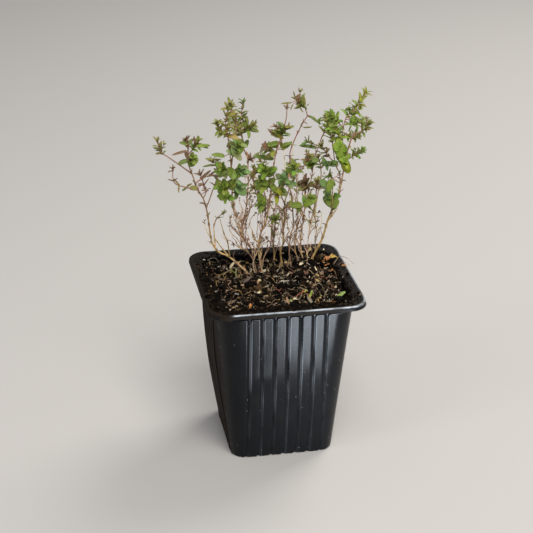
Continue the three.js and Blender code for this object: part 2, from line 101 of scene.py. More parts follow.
def smoothRoute(route, steps):
    # a cubic through every point: its slope at a point is half the step between the two neighbours
    route = np.array(route, float)
    ends = np.vstack([2 * route[0] - route[1], route, 2 * route[-1] - route[-2]])
    t = np.linspace(0, len(route) - 1, steps)
    i = np.minimum(t.astype(int), len(route) - 2)
    t = (t - i)[:, None]
    a, b = ends[i + 1], ends[i + 2]
    slopeA, slopeB = (ends[i + 2] - ends[i]) / 2, (ends[i + 3] - ends[i + 1]) / 2
    return (mix(a, b, 3 * t ** 2 - 2 * t ** 3) + slopeA * (t - 2 * t ** 2 + t ** 3)
            + slopeB * (t ** 3 - t ** 2))


def lengthAlong(path):
    # distance from the first point to each, measured along the path
    steps = np.linalg.norm(np.diff(path, axis=0), axis=1)
    return np.concatenate([[0], np.cumsum(steps)])


# Skins: points, faces, uv, tint and the number of their finish

def gridQuads(rows, columns, wrap):
    # four-cornered faces between neighbouring rows and columns; wrap joins the last column to the first
    r, c = np.meshgrid(np.arange(rows - 1), np.arange(columns - (0 if wrap else 1)), indexing="ij")
    n = (c + 1) % columns
    quads = [r * columns + c, r * columns + n, (r + 1) * columns + n, (r + 1) * columns + c]
    return np.stack(quads, -1).reshape(-1, 4)


def loft(rings, first, last, uv, tint, look=0):
    # N closed skins at once: rings is (N, rows, columns, 3), and the points first and last, (N, 3),
    # close the two ends with fans
    count, rows, columns = rings.shape[:3]
    quads = gridQuads(rows, columns, True)
    c = np.arange(columns)
    n = (c + 1) % columns
    foot, tip, top = rows * columns, rows * columns + 1, (rows - 1) * columns
    fans = np.concatenate([np.stack([foot + 0 * c, n, c], -1),
                           np.stack([tip + 0 * c, top + c, top + n], -1)])
    step = (rows * columns + 2) * np.arange(count)[:, None, None]

    def ended(values, depth):
        values = np.broadcast_to(values, (count, rows, columns, depth))
        return np.concatenate([values.reshape(count, -1, depth), values[:, 0].mean(1)[:, None],
                               values[:, -1].mean(1)[:, None]], 1).reshape(-1, depth)

    points = np.concatenate([rings.reshape(count, -1, 3), first[:, None], last[:, None]], 1)
    return dict(points=points.reshape(-1, 3), quads=(quads + step).reshape(-1, 4),
                fans=(fans + step).reshape(-1, 3), uv=ended(uv, 2), tint=ended(tint, 3), look=look)


# a way that no stem, root or thread runs, from which the sides of a tube are counted
offAxis = [0.62, 0.78, 0.07]


def tube(path, radius, sides, tint):
    # a ring square to the path at each of its points, `radius` wide there, and a point past each end
    along = unit(np.gradient(path, axis=0))
    across = unit(np.cross(along, offAxis))
    beside = np.cross(along, across)
    angle = np.arange(sides) / sides * 2 * np.pi
    spokes = np.cos(angle)[:, None] * across[:, None] + np.sin(angle)[:, None] * beside[:, None]
    rings = path[:, None] + radius[:, None, None] * spokes
    u, v = np.meshgrid((1 + np.cos(angle)) / 2, lengthAlong(path))
    ends = [path[:1] - along[:1] * radius[0], path[-1:] + along[-1:] * radius[-1]]
    tint = np.broadcast_to(tint, path.shape)[None, :, None]
    return loft(rings[None], *ends, np.stack([u, v], -1)[None], tint)


leafRows = np.array([0.03, 0.1, 0.2, 0.34, 0.48, 0.62, 0.76, 0.88, 0.96])
flakeRows = np.array([0.05, 0.3, 0.7, 0.95])
leafForm = {"sides": 8, "thickness": 0.2, "tipThinning": 0.5, "stalk": 0.08, "fullness": 0.95,
            "rippleAlong": 9, "rippleAcross": 4, "underside": (1.2, 1.12, 1.35),
            "margin": (0.20, 0.085, 0.045), "marginFrom": 0.75, "marginShare": 0.3}


def leafBlades(base, along, upper, length, width, curl, fold, tint, widest=0.42, ripple=0.0, look=0,
               rows=leafRows):
    # N closed thin blades. The middle line is an arc that bends down by `curl` radians from base to
    # tip. Half the width there is (t/p)^(pk) ((1-t)/(1-p))^((1-p)k), which is 1 at the widest place p.
    # Both halves rise by the fold angle from the midrib, and the section is a flat oval loop.
    def column(values):
        return np.broadcast_to(np.asarray(values, float), len(base))[:, None, None, None]

    t = rows[None, :, None, None]
    angle = (np.arange(leafForm["sides"]) / leafForm["sides"] * 2 * np.pi)[None, None, :, None]
    s, n = np.cos(angle), np.sin(angle)
    side = np.cross(upper, along)[:, None, None]
    along, upper, start = along[:, None, None], upper[:, None, None], base[:, None, None]
    curl = column(curl) + 1e-4
    length, half, fold = column(length), column(width) / 2, column(fold)
    k, p = leafForm["fullness"], widest
    half = half * ((t / p) ** (p * k) * ((1 - t) / (1 - p)) ** ((1 - p) * k) + leafForm["stalk"] * (1 - t))

    def middle(t):
        return start + length / curl * (along * np.sin(curl * t) - upper * (1 - np.cos(curl * t)))

    normal = along * np.sin(curl * t) + upper * np.cos(curl * t)
    phase = leafForm["rippleAlong"] * t + leafForm["rippleAcross"] * s
    wave = column(ripple) * half * np.sin(phase) * np.abs(s)
    thinning = 1 - leafForm["tipThinning"] * t
    lift = np.abs(s) * half * np.sin(fold) + n * leafForm["thickness"] / 2 * thinning + wave
    rings = middle(t) + side * s * half * np.cos(fold) + normal * lift
    uv = np.stack(np.broadcast_arrays(s / 2 + 0.5, t), -1)[..., 0, :]
    tip = middle(np.ones((1, 1, 1, 1)))[:, 0, 0]
    # the underside is paler, and the margin browner
    below = mix(1, rowsOf([leafForm["underside"]]), smoothStep(0, -0.5, n[..., 0, :, :]))
    rim = leafForm["marginShare"] * smoothStep(leafForm["marginFrom"], 1, np.abs(s[..., 0, :, :]))
    tint = mix(np.asarray(tint, float)[:, None, None] * below[None], rowsOf([leafForm["margin"]]), rim[None])
    return loft(rings, base, tip, uv, tint[:, 0][:, None], look)


clodForm = {"in": 0.62, "out": 1.15, "poleIn": 0.55}


def clods(centre, size, frames, tint, rng, rows=3, columns=6):
    # N irregular lumps: a ball's rings, each point moved in or out at random, then scaled along the
    # lump's own three axes and turned with them
    lat = (np.arange(rows) + 1) / (rows + 1) * np.pi - np.pi / 2
    lon = np.arange(columns) / columns * 2 * np.pi
    lat, lon = np.meshgrid(lat, lon, indexing="ij")
    ball = np.stack([np.cos(lat) * np.cos(lon), np.cos(lat) * np.sin(lon), np.sin(lat)], -1)
    count = len(centre)
    uneven = rng.uniform(clodForm["in"], clodForm["out"], (count, rows, columns, 1))
    rings = ball[None] * uneven * size[:, None, None]
    poles = rng.uniform(clodForm["poleIn"], 1.0, (2, count, 1)) * size * rowsOf([[0, 0, 1]])
    turned = np.einsum("nrcj,njk->nrck", rings, frames) + centre[:, None, None]
    foot = np.einsum("nj,njk->nk", -poles[0], frames) + centre
    tip = np.einsum("nj,njk->nk", poles[1], frames) + centre
    uv = np.stack([lon / (2 * np.pi), lat / np.pi + 0.5], -1)[None]
    return loft(turned, foot, tip, uv, tint[:, None, None])


def randomFrames(rng, count):
    # three unit axes square to each other, turned any way
    a = unit(rng.normal(size=(count, 3)))
    b = unit(np.cross(a, rng.normal(size=(count, 3))))
    return np.stack([a, b, np.cross(a, b)], 1)


def mergedSkin(skin):
    # points that share a place, to a thousandth of a millimetre, become one
    keys = np.round(skin["points"], 3)
    _, kept, place = np.unique(keys, axis=0, return_index=True, return_inverse=True)
    place = place.reshape(-1)
    return dict(points=skin["points"][kept], quads=place[skin["quads"]], fans=place[skin["fans"]],
                uv=skin["uv"][kept], tint=skin["tint"][kept], look=skin["look"])


def joinedSkins(skins):
    # one skin with the finish number of each face kept
    start = np.cumsum([0] + [len(s["points"]) for s in skins])[:-1]
    quads = np.concatenate([s["quads"] + n for s, n in zip(skins, start)])
    fans = np.concatenate([s["fans"] + n for s, n in zip(skins, start)])
    looks = np.concatenate([np.full(len(s["quads"]), s["look"]) for s in skins]
                           + [np.full(len(s["fans"]), s["look"]) for s in skins])
    whole = {key: np.concatenate([s[key] for s in skins]) for key in ("points", "uv", "tint")}
    return whole | dict(quads=quads, fans=fans, looks=looks)


def makePiece(name, skins, finishes, replaced=()):
    # a mesh in metres from the skins, with its uv map and its tint, riding on the frame
    whole = joinedSkins(skins)
    corners = np.concatenate([whole["quads"].ravel(), whole["fans"].ravel()]).astype(np.int32)
    sizes = np.concatenate([np.full(len(whole["quads"]), 4), np.full(len(whole["fans"]), 3)])
    mesh = bpy.data.meshes.new(name)
    mesh.vertices.add(len(whole["points"]))
    mesh.vertices.foreach_set("co", (whole["points"] * mm).astype(np.float32).ravel())
    mesh.loops.add(len(corners))
    mesh.loops.foreach_set("vertex_index", corners)
    mesh.polygons.add(len(sizes))
    starts = np.concatenate([[0], np.cumsum(sizes)[:-1]])
    mesh.polygons.foreach_set("loop_start", starts.astype(np.int32))
    mesh.polygons.foreach_set("material_index", whole["looks"].astype(np.int32))
    mesh.polygons.foreach_set("use_smooth", np.full(len(sizes), True))
    mesh.update(calc_edges=True)
    uv = mesh.uv_layers.new(name="UVMap")
    uv.data.foreach_set("uv", whole["uv"][corners].astype(np.float32).ravel())
    tint = mesh.color_attributes.new("tint", "FLOAT_COLOR", "POINT")
    rgba = np.concatenate([whole["tint"], np.ones((len(whole["tint"]), 1))], 1)
    tint.data.foreach_set("color", rgba.astype(np.float32).ravel())
    mesh.validate()
    for finish in finishes:
        mesh.materials.append(finish)
    piece = bpy.data.objects.new(name, mesh)
    bpy.context.scene.collection.objects.link(piece)
    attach(piece, "root")
    if replaced:
        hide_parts(*replaced)


# Shader nodes

def plug(tree, socket, term):
    # a wire is linked to the socket, and a plain value is set on it
    if isinstance(term, Wire):
        tree.links.new(term.socket, socket)
    else:
        socket.default_value = term


class Wire:
    # a node's output; arithmetic on it adds Math nodes to its tree
    def __init__(self, tree, socket):
        self.tree, self.socket = tree, socket

    def math(self, operation, *terms):
        node = self.tree.nodes.new("ShaderNodeMath")
        node.operation = operation
        for socket, term in zip(node.inputs, terms):
            plug(self.tree, socket, term)
        return Wire(self.tree, node.outputs[0])

    def __add__(self, other):
        return self.math("ADD", self, other)

    def __sub__(self, other):
        return self.math("SUBTRACT", self, other)

    def __rsub__(self, other):
        return self.math("SUBTRACT", other, self)

    def __mul__(self, other):
        return self.math("MULTIPLY", self, other)

    def __abs__(self):
        return self.math("ABSOLUTE", self)

    __radd__, __rmul__ = __add__, __mul__

    def sine(self):
        return self.math("SINE", self)

    def between(self, low, high):
        # 0 at low, 1 at high, held past both
        node = self.tree.nodes.new("ShaderNodeMapRange")
        node.interpolation_type = "SMOOTHSTEP"
        for name, value in (("Value", self), ("From Min", low), ("From Max", high)):
            plug(self.tree, node.inputs[name], value)
        return Wire(self.tree, node.outputs[0])


class Finish:
    # a material in the making
    def __init__(self, name):
        self.material = bpy.data.materials.new(name)
        self.material.use_nodes = True
        self.tree = self.material.node_tree
        self.tree.nodes.clear()

    def node(self, kind, settings=None, values=None, out=0):
        # any node: its settings first, then the values or wires of its sockets
        made = self.tree.nodes.new("ShaderNode" + kind)
        for name, value in (settings or {}).items():
            setattr(made, name, value)
        for name, value in (values or {}).items():
            plug(self.tree, made.inputs[name], value)
        return Wire(self.tree, made.outputs[out]) if made.outputs else made

    def place(self):
        return self.node("TexCoord", out="Object")

    def parts(self, vector):
        # the three numbers of a vector or colour
        node = self.node("SeparateXYZ", values={0: vector}).socket.node
        return [Wire(self.tree, socket) for socket in node.outputs]

    def uv(self):
        return self.parts(self.node("TexCoord", out="UV"))[:2]

    def tint(self):
        return self.node("Attribute", {"attribute_name": "tint"})

    def noise(self, size, place=None, detail=3.0, roughness=0.55):
        # noise with lumps about `size` millimetres wide, from 0 to 1
        values = {"Scale": 1 / (size * mm), "Detail": detail, "Roughness": roughness,
                  "Vector": place or self.place()}
        return self.node("TexNoise", None, values)

    def stretched(self, x, y, z):
        # object coordinates scaled along each axis
        return self.node("Mapping", None, {"Vector": self.place(), "Scale": (x, y, z)})

    def blend(self, factor, a, b):
        return self.node("Mix", {"data_type": "RGBA"}, {0: factor, 6: a, 7: b}, out=2)

    def scaled(self, colour, factor):
        return self.node("VectorMath", {"operation": "SCALE"}, {0: colour, "Scale": factor})

    def bump(self, height, depth):
        # depth is the real height of the relief in millimetres
        return self.node("Bump", None, {"Height": height, "Distance": depth * mm})

    def surface(self, through=None, **values):
        # the Principled shader; `through` is the share of light that passes as green, through a thin leaf
        sockets = {name.replace("_", " "): value for name, value in values.items()}
        shader = self.node("BsdfPrincipled", None, sockets)
        if through:
            back = self.node("BsdfTranslucent", None, {"Color": leafColours["through"]})
            shader = self.node("MixShader", None, {0: through, 1: shader, 2: back})
        self.node("OutputMaterial", None, {"Surface": shader})
        return self.material


# Finishes. A noise's first number is the width of its lumps in millimetres; between picks the part
# of a value's range that shows.

# the two pale bluish greys are painted highlights on the panels' edges and the lip's edge, and the near
# black one is painted shade in the grooves
potColours = {
    "plastic": (0.0038, 0.0042, 0.0050, 1), "dust": (0.016, 0.016, 0.016, 1),
    "paintedLight": (0.17, 0.185, 0.20, 1), "lip": (0.44, 0.47, 0.50, 1), "brownPatch": (0.012, 0.007, 0.003, 1),
    "grooveShade": (0.004, 0.004, 0.0045, 1), "speck": (0.42, 0.42, 0.40, 1),
}
leafColours = {"vein": (0.42, 0.48, 0.16, 1), "through": (0.34, 0.46, 0.05, 1)}


def potPlastic():
    # black moulded plastic: glossy, with fine draw lines down the wall, painted highlights as pale lines on
    # the panels' edges and the lip's edge, painted shade in the grooves, dust, pale specks, and dark earth
    # smeared on the flange. The tint's parts are the painted highlight on a panel's edge, or less than 0 for
    # the painted shade on a groove's dull floor; how dirty a place is, which on the left wall is a painted
    # brown reflection; and the painted highlight on the lip's edge.
    finish = Finish("pot_plastic")
    paintedLight, dirtAndReflection, lipEdgeHighlight = finish.parts(finish.tint())
    # painted shade: the grooves' floors are kept near black, and dull
    grooveShade = (0 - paintedLight).between(0.1, 0.8)
    lines = finish.noise(1.6, finish.stretched(1, 1, 0.04), detail=4)
    blotches = finish.noise(16, detail=4)
    grain = finish.noise(0.7, detail=2)
    specks = finish.node("TexVoronoi", None, {"Vector": finish.place(), "Scale": 1 / (3.2 * mm)})
    speck = (1 - specks.between(0.03, 0.075)) * finish.noise(5, detail=1).between(0.52, 0.6)
    brownPatch = dirtAndReflection * (finish.noise(3.5, detail=5, roughness=0.7) + dirtAndReflection * 0.25).between(0.42, 0.62)
    # painted highlight: pale bluish lines along the panels' edges, broken by noise
    paintedLightMask = paintedLight * finish.noise(7, finish.stretched(1, 1, 0.25), detail=3).between(0.34, 0.62)
    dust = blotches.between(0.45, 0.8) * 0.35 + grain.between(0.5, 0.8) * 0.2
    base = finish.blend(dust * 0.35, potColours["plastic"], potColours["dust"])
    base = finish.blend(paintedLightMask * 0.75, base, potColours["paintedLight"])
    # painted highlight along the lip's top edge
    lipHighlight = lipEdgeHighlight * (0.35 + finish.noise(11, detail=3).between(0.36, 0.6) * 0.65)
    base = finish.blend(lipHighlight, base, potColours["lip"])
    # brown earth on the flange, and on the left wall a painted brown reflection
    base = finish.blend(brownPatch * 0.9, base, potColours["brownPatch"])
    base = finish.blend(grooveShade * 0.8, base, potColours["grooveShade"])
    base = finish.blend(speck * 0.8, base, potColours["speck"])
    roughness = 0.18 + lines * 0.1 + blotches * 0.1 + brownPatch * 0.6 + grooveShade * 0.6 + speck * 0.4
    relief = finish.bump(lines * 0.6 + grain * 0.3 + brownPatch * 2 + speck * 2, 0.06)
    return finish.surface(Base_Color=base, Roughness=roughness, Normal=relief, Specular_IOR_Level=0.16)


def pottingSoil():
    # dark peat: each crumb has its own tint, mottled finely, and a damp glint here and there
    finish = Finish("potting_soil")
    grain = finish.noise(0.55, detail=5, roughness=0.7)
    patches = finish.noise(4, detail=2)
    base = finish.scaled(finish.tint(), 0.35 + grain * 1.1)
    roughness = 0.9 - patches.between(0.45, 0.65) * 0.55
    return finish.surface(Base_Color=base, Roughness=roughness, Normal=finish.bump(grain, 0.35),
                          Specular_IOR_Level=0.06)


def woodyStem():
    # thin bark: its tint broken into streaks that run along the stem
    finish = Finish("stem_wood")
    u, v = finish.uv()
    along = finish.node("CombineXYZ", None, {0: u * 2.2, 1: v * 0.22, 2: v * 0.05})
    streaks = finish.node("TexNoise", None, {"Vector": along, "Scale": 2.2, "Detail": 4.0, "Roughness": 0.6})
    mottle = finish.noise(1.1, detail=3)
    base = finish.scaled(finish.tint(), 0.5 + streaks.between(0.4, 0.6) * 0.65 + mottle * 0.35)
    return finish.surface(Base_Color=base, Roughness=0.5 + streaks * 0.2,
                          Normal=finish.bump(streaks + mottle * 0.5, 0.12))


def leafGreen():
    # a small smooth leaf: paler midrib and side veins, darker between them, a soft gloss, and light
    # through it
    finish = Finish("leaf_green")
    u, v = finish.uv()
    across = abs(u - 0.5) * 2
    midrib = 1 - across.between(0.03, 0.16)
    veins = ((v * 46 - across * 9).sine() * 0.5 + 0.5).between(0.72, 1.0) * across.between(0.05, 0.25)
    mottle = finish.noise(1.8, detail=3)
    margin = across.between(0.75, 1.0)
    lines = (midrib * 0.5 + veins * 0.22) * (1 - v * 0.5)
    base = finish.scaled(finish.tint(), 0.72 + mottle * 0.5 - margin * 0.12 + lines * 0.45)
    base = finish.blend(lines * 0.25, base, leafColours["vein"])
    relief = finish.bump(mottle * 0.5 - midrib * 0.7 - veins * 0.4, 0.12)
    green = finish.parts(finish.tint())[1]
    return finish.surface(through=green.between(0.05, 0.55) * 0.42, Base_Color=base, Normal=relief,
                          Roughness=0.38 + mottle * 0.2, Specular_IOR_Level=0.38)


def dryScrap():
    # bark, dry leaf and root: the piece's tint with fibres along it
    finish = Finish("dry_scrap")
    u, v = finish.uv()
    along = finish.node("CombineXYZ", None, {0: u * 5, 1: v * 0.6, 2: 0.0})
    fibres = finish.node("TexNoise", None, {"Vector": along, "Scale": 2.0, "Detail": 5.0, "Roughness": 0.65})
    mottle = finish.noise(0.9, detail=4)
    base = finish.scaled(finish.tint(), 0.3 + fibres * 0.7 + mottle * 0.6)
    return finish.surface(Base_Color=base, Roughness=0.7 + mottle * 0.2,
                          Normal=finish.bump(fibres + mottle, 0.25))


finishes = {"pot": potPlastic(), "soil": pottingSoil(), "wood": woodyStem(), "leaf": leafGreen(),
            "dry": dryScrap()}
print("finishes made")


# Pot

pot = {
    "height": 100, "rimWidth": 90, "rimCorner": 10, "mouthWidth": 79.8, "mouthCorner": 13,
    "baseWidth": 60.2, "baseCorner": 9, "wall": 0.9, "floor": 1.2, "footChamfer": 0.8,
    "flangeThickness": 1, "flangeDrop": 0.4, "lipHeight": 2.8, "lipThickness": 0.9,
    "grooves": 7, "groovePitch": 7.29, "grooveDepth": 0.9, "panelTop": 94.2, "panelCorner": 1.6,
    "drainHole": 4, "drainOffset": 15,
    # the groove's section: distance from its middle, and depth there as a share
    "grooveAcross": [-1.45, -1.3, -1.05, -0.9, -0.15, 0.1, 0.6, 1.0, 1.3],
    "grooveShares": [0, 0.1, 0.92, 1, 1, 0.94, 0.45, 0.08, 0],
    # where else the wall is sampled across a groove, and across a panel from the groove before it
    "grooveStations": [-2.0, -0.5, 0.3, 0.8, 1.15, 1.4, 1.6, 1.85], "panelStations": [2.7, 3.65, 4.5],
    "panelEdge": 0.9, "topEase": 0.25, "cornerSteps": 18,
    # the lines of painted highlight: on a panel's left edge, the slope beside it and the panel's top
    "highlightLine": 1.4, "highlightWidth": 0.2, "highlightTop": 0.55, "slopeShare": 0.62, "topShare": 0.7,
    # how far the front, right, back and left faces swell at mid height
    "swell": [1.6, -0.7, 1.0, 2.6],
    # dents: face, how far out, then the middle and the reach of each along x and along z
    "dents": [(0, 0.6, -20, 15, 55, 6), (0, -0.75, -23, 12, 45, 5), (0, -0.5, 27, 8, 62, 7),
              (3, -0.9, 4, 12, 52, 9)],
    # two noises over the walls: how far out, how wide a lump is, and the seed
    "uneven": [(0.22, 19, 70), (0.04, 7, 71)],
    "rimWave": 0.22, "notch": 0.35, "notchAt": 2, "notchWidth": 0.9,
}
rimHalf = pot["rimWidth"] / 2


def bodyHalf(z):
    # half the wall's outside width, straight from base to mouth
    return mix(pot["baseWidth"], pot["mouthWidth"], z / pot["height"]) / 2


def bodyCorner(z):
    return mix(pot["baseCorner"], pot["mouthCorner"], z / pot["height"])


def fromGroove(x):
    # distance from the middle of the nearest groove, less than 0 on its left
    reach, pitch = pot["grooves"] // 2, pot["groovePitch"]
    return x - np.clip(np.round(x / pitch), -reach, reach) * pitch


def wallSink(x, z):
    # how far the wall lies behind the proud panels: the deeper of the groove's section and of the
    # distance past a panel's round top corners, eased from nothing to groove depth
    across = fromGroove(x)
    section = np.interp(across, pot["grooveAcross"], pot["grooveShares"])
    inX = np.abs(across) - pot["panelEdge"]
    inZ = pot["panelTop"] - z
    r, ease = pot["panelCorner"], pot["topEase"]
    overX, overZ = np.maximum(r - inX, 0), np.maximum(r - inZ, 0)
    topped = 1 - smoothStep(-ease, ease, r - np.hypot(overX * (inZ < r), overZ))
    return pot["grooveDepth"] * np.maximum(section, topped)


def paintedEdgeHighlights(x, z):
    # 1 on the thin lines of painted highlight along each panel's left edge and its top, and less on the
    # slope beside the left edge; the painted highlight fades towards the foot
    line, width = pot["highlightLine"], pot["highlightWidth"]
    across = fromGroove(x)
    below = pot["panelTop"] - z
    slope = pot["slopeShare"] * smoothStep(-0.1, 0.3, across) * smoothStep(1.1, 0.75, across)
    left = np.maximum(np.exp(-((across - line) / width) ** 2), slope)
    left = left * smoothStep(0.4, 1.2, below) * mix(0.2, 1, smoothStep(25, 75, z))
    top = np.exp(-((below - pot["highlightTop"]) / width) ** 2) * (np.abs(across) > line)
    return np.maximum(left, pot["topShare"] * top)


def paintedGrooveShade(x, z):
    # 1 on the floor of a groove, where shade is painted
    across = fromGroove(x)
    return smoothStep(-1.3, -1.0, across) * smoothStep(0.3, -0.05, across) * smoothStep(96, 94, z)


def wallBulge(face, x, z):
    # soft thin walls: every face swells a little at mid height, dents where it was handled, and is
    # uneven all over. A dent is a bell curve along x and along z.
    share = np.clip(z / pot["height"], 0, 1)
    bulge = pot["swell"][face] * np.sin(np.pi * share ** 1.1)
    for dented, out, atX, reachX, atZ, reachZ in pot["dents"]:
        if dented == face:
            bulge = bulge + out * np.exp(-((x - atX) / reachX) ** 2 - ((z - atZ) / reachZ) ** 2)
    place = np.stack([x, 40 * face + 0 * x, z + 0 * x], -1)
    for out, size, seed in pot["uneven"]:
        bulge = bulge + out * softNoise(place, size, seed)
    return bulge


def ribStations():
    # distances along a face where the wall is sampled: close together at the grooves' edges
    offsets = [*pot["grooveAcross"], *pot["grooveStations"]]
    reach = pot["grooves"] // 2
    centres = np.arange(-reach, reach + 1) * pot["groovePitch"]
    grooves = np.add.outer(centres, offsets).ravel()
    panels = np.add.outer(centres[:-1], pot["panelStations"]).ravel()
    edge = centres[-1] + 2.6
    return np.sort(np.concatenate([grooves, panels, [-edge, edge]]))


def wallRings(*rows):
    # rows of points round the rounded square, and for each its painted highlight on the panel edges, its
    # painted highlight on the lip's edge, and the painted shade of a groove's floor. On a face, y is the
    # flat's distance, or the corner's arc past the flat's end, less the groove's depth, and more by the
    # bulge away from the corners.
    z, half, corner, ribbed, bulged, paintedLight = (np.asarray(row, float)[:, None] for row in rows)
    ribs = ribStations()[None] + 0 * half
    share = (np.arange(pot["cornerSteps"]) + 1)[None] / pot["cornerSteps"]
    outer = mix(ribs[:, -1:], half - corner + corner * np.sin(np.pi / 4), share)
    x = np.concatenate([-outer[:, ::-1], ribs, outer[:, :-1]], 1)
    past = np.maximum(np.abs(x) - (half - corner), 0)
    out = half - corner + np.sqrt(np.maximum(corner ** 2 - past ** 2, 0)) - ribbed * wallSink(x, z)
    sides = []
    for face in range(4):
        inward = smoothStep(1.0, 0.55, np.abs(x) / x.max(1, keepdims=True))
        y = out + bulged * wallBulge(face, x, z) * inward
        turn = face * np.pi / 2
        sides.append(np.stack([x * np.cos(turn) + y * np.sin(turn), x * np.sin(turn) - y * np.cos(turn),
                               z + 0 * x], -1))
    paintedLightMask = np.stack([ribbed * paintedEdgeHighlights(x, z), paintedLight + 0 * x, ribbed * paintedGrooveShade(x, z)], -1)
    return np.concatenate(sides, 1), np.tile(paintedLightMask, (1, 4, 1))


def potSections():
    # the section from the foot up the outside, round the lip and flange, and down the inside: height, half
    # width, corner radius, how much of the grooves and of the bulge each row takes, and how much of the lip
    # edge's painted highlight it takes
    def bulged(z):
        # nothing at the foot and under the rim
        return smoothStep(0, 12, z) * smoothStep(98, 84, z)

    rows = []
    foot = pot["footChamfer"]
    up = [0, 0.25, foot, 1.6, 3, *np.arange(5, 90, 2.4), 91, 92, *np.arange(92.4, 94.9, 0.25), 96, 97.6]
    for z in up:
        inset = max(foot - z, 0) ** 2 / foot
        rows.append((z, bodyHalf(z) - inset, bodyCorner(z), 1, bulged(z), 0))
    neck = bodyHalf(98) - pot["grooveDepth"]
    lipIn = rimHalf - pot["lipThickness"]
    flange = pot["height"] - pot["flangeDrop"]
    under = flange - pot["flangeThickness"]
    lipEnd = pot["height"] - pot["lipHeight"]
    profile = [
        # under the flange, and down the inside of the lip
        (under - 0.25, neck + 0.08), (under, neck + 0.5), (under, neck + 2), (under, lipIn - 0.8),
        (under - 0.2, lipIn - 0.1), (lipEnd + 0.4, lipIn + 0.05), (lipEnd + 0.06, lipIn + 0.15),
        # round its end and up its outside
        (lipEnd, rimHalf - 0.3), (lipEnd + 0.12, rimHalf - 0.04), (lipEnd + 0.6, rimHalf),
        (lipEnd + 1.5, rimHalf - 0.1), (lipEnd + 2.2, rimHalf - 0.22), (lipEnd + 2.45, rimHalf - 0.32),
        # over the rounded top edge
        (lipEnd + 2.66, rimHalf - 0.52), (lipEnd + 2.77, rimHalf - 0.8), (lipEnd + 2.78, rimHalf - 1.15),
        (flange + 0.26, rimHalf - 1.5), (flange + 0.1, rimHalf - 2.0), (flange + 0.02, rimHalf - 2.8),
        # across the flange and down into the mouth
        (flange, rimHalf - 4), (flange, neck + 1), (flange - 0.08, neck + 0.25),
        (flange - 0.28, neck - 0.35), (flange - 0.62, neck - 0.72), (flange - 1.2, neck - pot["wall"])]
    for z, half in profile:
        outward = (half - neck) / (rimHalf - neck)
        corner = mix(bodyCorner(z) - pot["grooveDepth"], pot["rimCorner"], outward)
        # the lip's rounded top edge, where a highlight is painted
        edge = smoothStep(lipEnd + 2.15, lipEnd + 2.5, z) * smoothStep(rimHalf - 1.5, rimHalf - 1.1, half)
        rows.append((z, half, corner, 0, 0, edge))
    for z in [97.4, 96, 94, 91.5, *np.arange(86, 4, -8), 2, pot["floor"]]:
        rows.append((z, bodyHalf(z) - pot["wall"], bodyCorner(z) - pot["wall"], 1, bulged(z), 0))
    return np.array(rows).T


def floorPatch(outsideLoop, insideLoop, corner):
    # a quarter of the floor with its drain hole: rows of points from the outside loop in to the hole,
    # up through it, and out again to the inside loop
    centre = np.array([*corner, 0.0])
    angle = np.arctan2(*(outsideLoop - centre).T[1::-1])
    ring = np.stack([np.cos(angle), np.sin(angle), 0 * angle], -1) * pot["drainHole"] + centre
    top = ring + [0, 0, pot["floor"]]
    shares = np.array([0, 0.3, 0.6, 0.85, 1])[:, None, None]
    return np.concatenate([mix(outsideLoop, ring, shares), mix(top, insideLoop, shares)])


def gridSkin(points, wrap=True, flipped=False, tint=(1, 1, 1)):
    # an open grid of points as a skin
    quads = gridQuads(*points.shape[:2], wrap)
    flatPoints = points.reshape(-1, 3)
    return dict(points=flatPoints, quads=quads[:, ::-1] if flipped else quads, fans=np.zeros((0, 3), int),
                uv=flatPoints[:, [0, 2]] / 100, tint=np.tile(rowsOf([tint]), (len(flatPoints), 1)), look=0)


def unevenRim(x, y, z):
    # the rim isn't quite level or straight: a long low wave round it, and a small notch in the front
    rim = smoothStep(94, 99, z)
    z = z + rim * pot["rimWave"] * np.sin(x / 17 + 0.6) * np.cos(y / 21)
    notch = np.exp(-((x - pot["notchAt"]) / pot["notchWidth"]) ** 2) * (y < -rimHalf + 3) * rim
    return z - pot["notch"] * notch * smoothStep(98.5, 100, z)


def potTint(x, y, z, paintedLightMask):
    # the three parts that the pot's plastic reads: the painted highlight on the panels' edges less the
    # painted shade of the grooves' floor, dirt with a painted reflection on the left wall, and the painted
    # highlight on the lip's edge
    far = np.maximum(np.abs(x), np.abs(y))
    leftSide = smoothStep(-29, -35, x)
    # earth on the flange: most of it in front and on the left
    brownPatch = smoothStep(99, 99.5, z) * np.clip(0.75 - 0.009 * x - 0.007 * y, 0.55, 1)
    brownPatch *= np.maximum(smoothStep(rimHalf - 0.9, rimHalf - 1.7, far), leftSide)
    # the lip's upright face is dull, less so at the right, and the left wall has a painted brown reflection
    lip = (far > rimHalf - 1.2) * (z > 97) * smoothStep(99.3, 99.0, z) * mix(1, 0.4, smoothStep(24, 34, x))
    paintedBrownReflection = (x < 0) * (np.abs(x) > far - 0.01) * smoothStep(-1.0, -0.55, y / far) * smoothStep(98, 95, z)
    dirtAndReflectionMask = np.max([brownPatch, np.maximum(0.8, leftSide) * lip, paintedBrownReflection], axis=0)
    # painted highlight on the lip: brightest in front, at the right, and in one spot at the left
    lipHighlightMask = paintedLightMask[..., 1] * mix(0.3, 1, smoothStep(-30, -44, y)) * (1 - leftSide)
    lipHighlightMask *= 1 + 1.2 * np.exp(-((x + 30) / 1.5) ** 2) + 0.5 * smoothStep(26, 34, x)
    return np.stack([paintedLightMask[..., 0] - 0.9 * paintedLightMask[..., 2], dirtAndReflectionMask, lipHighlightMask], -1)


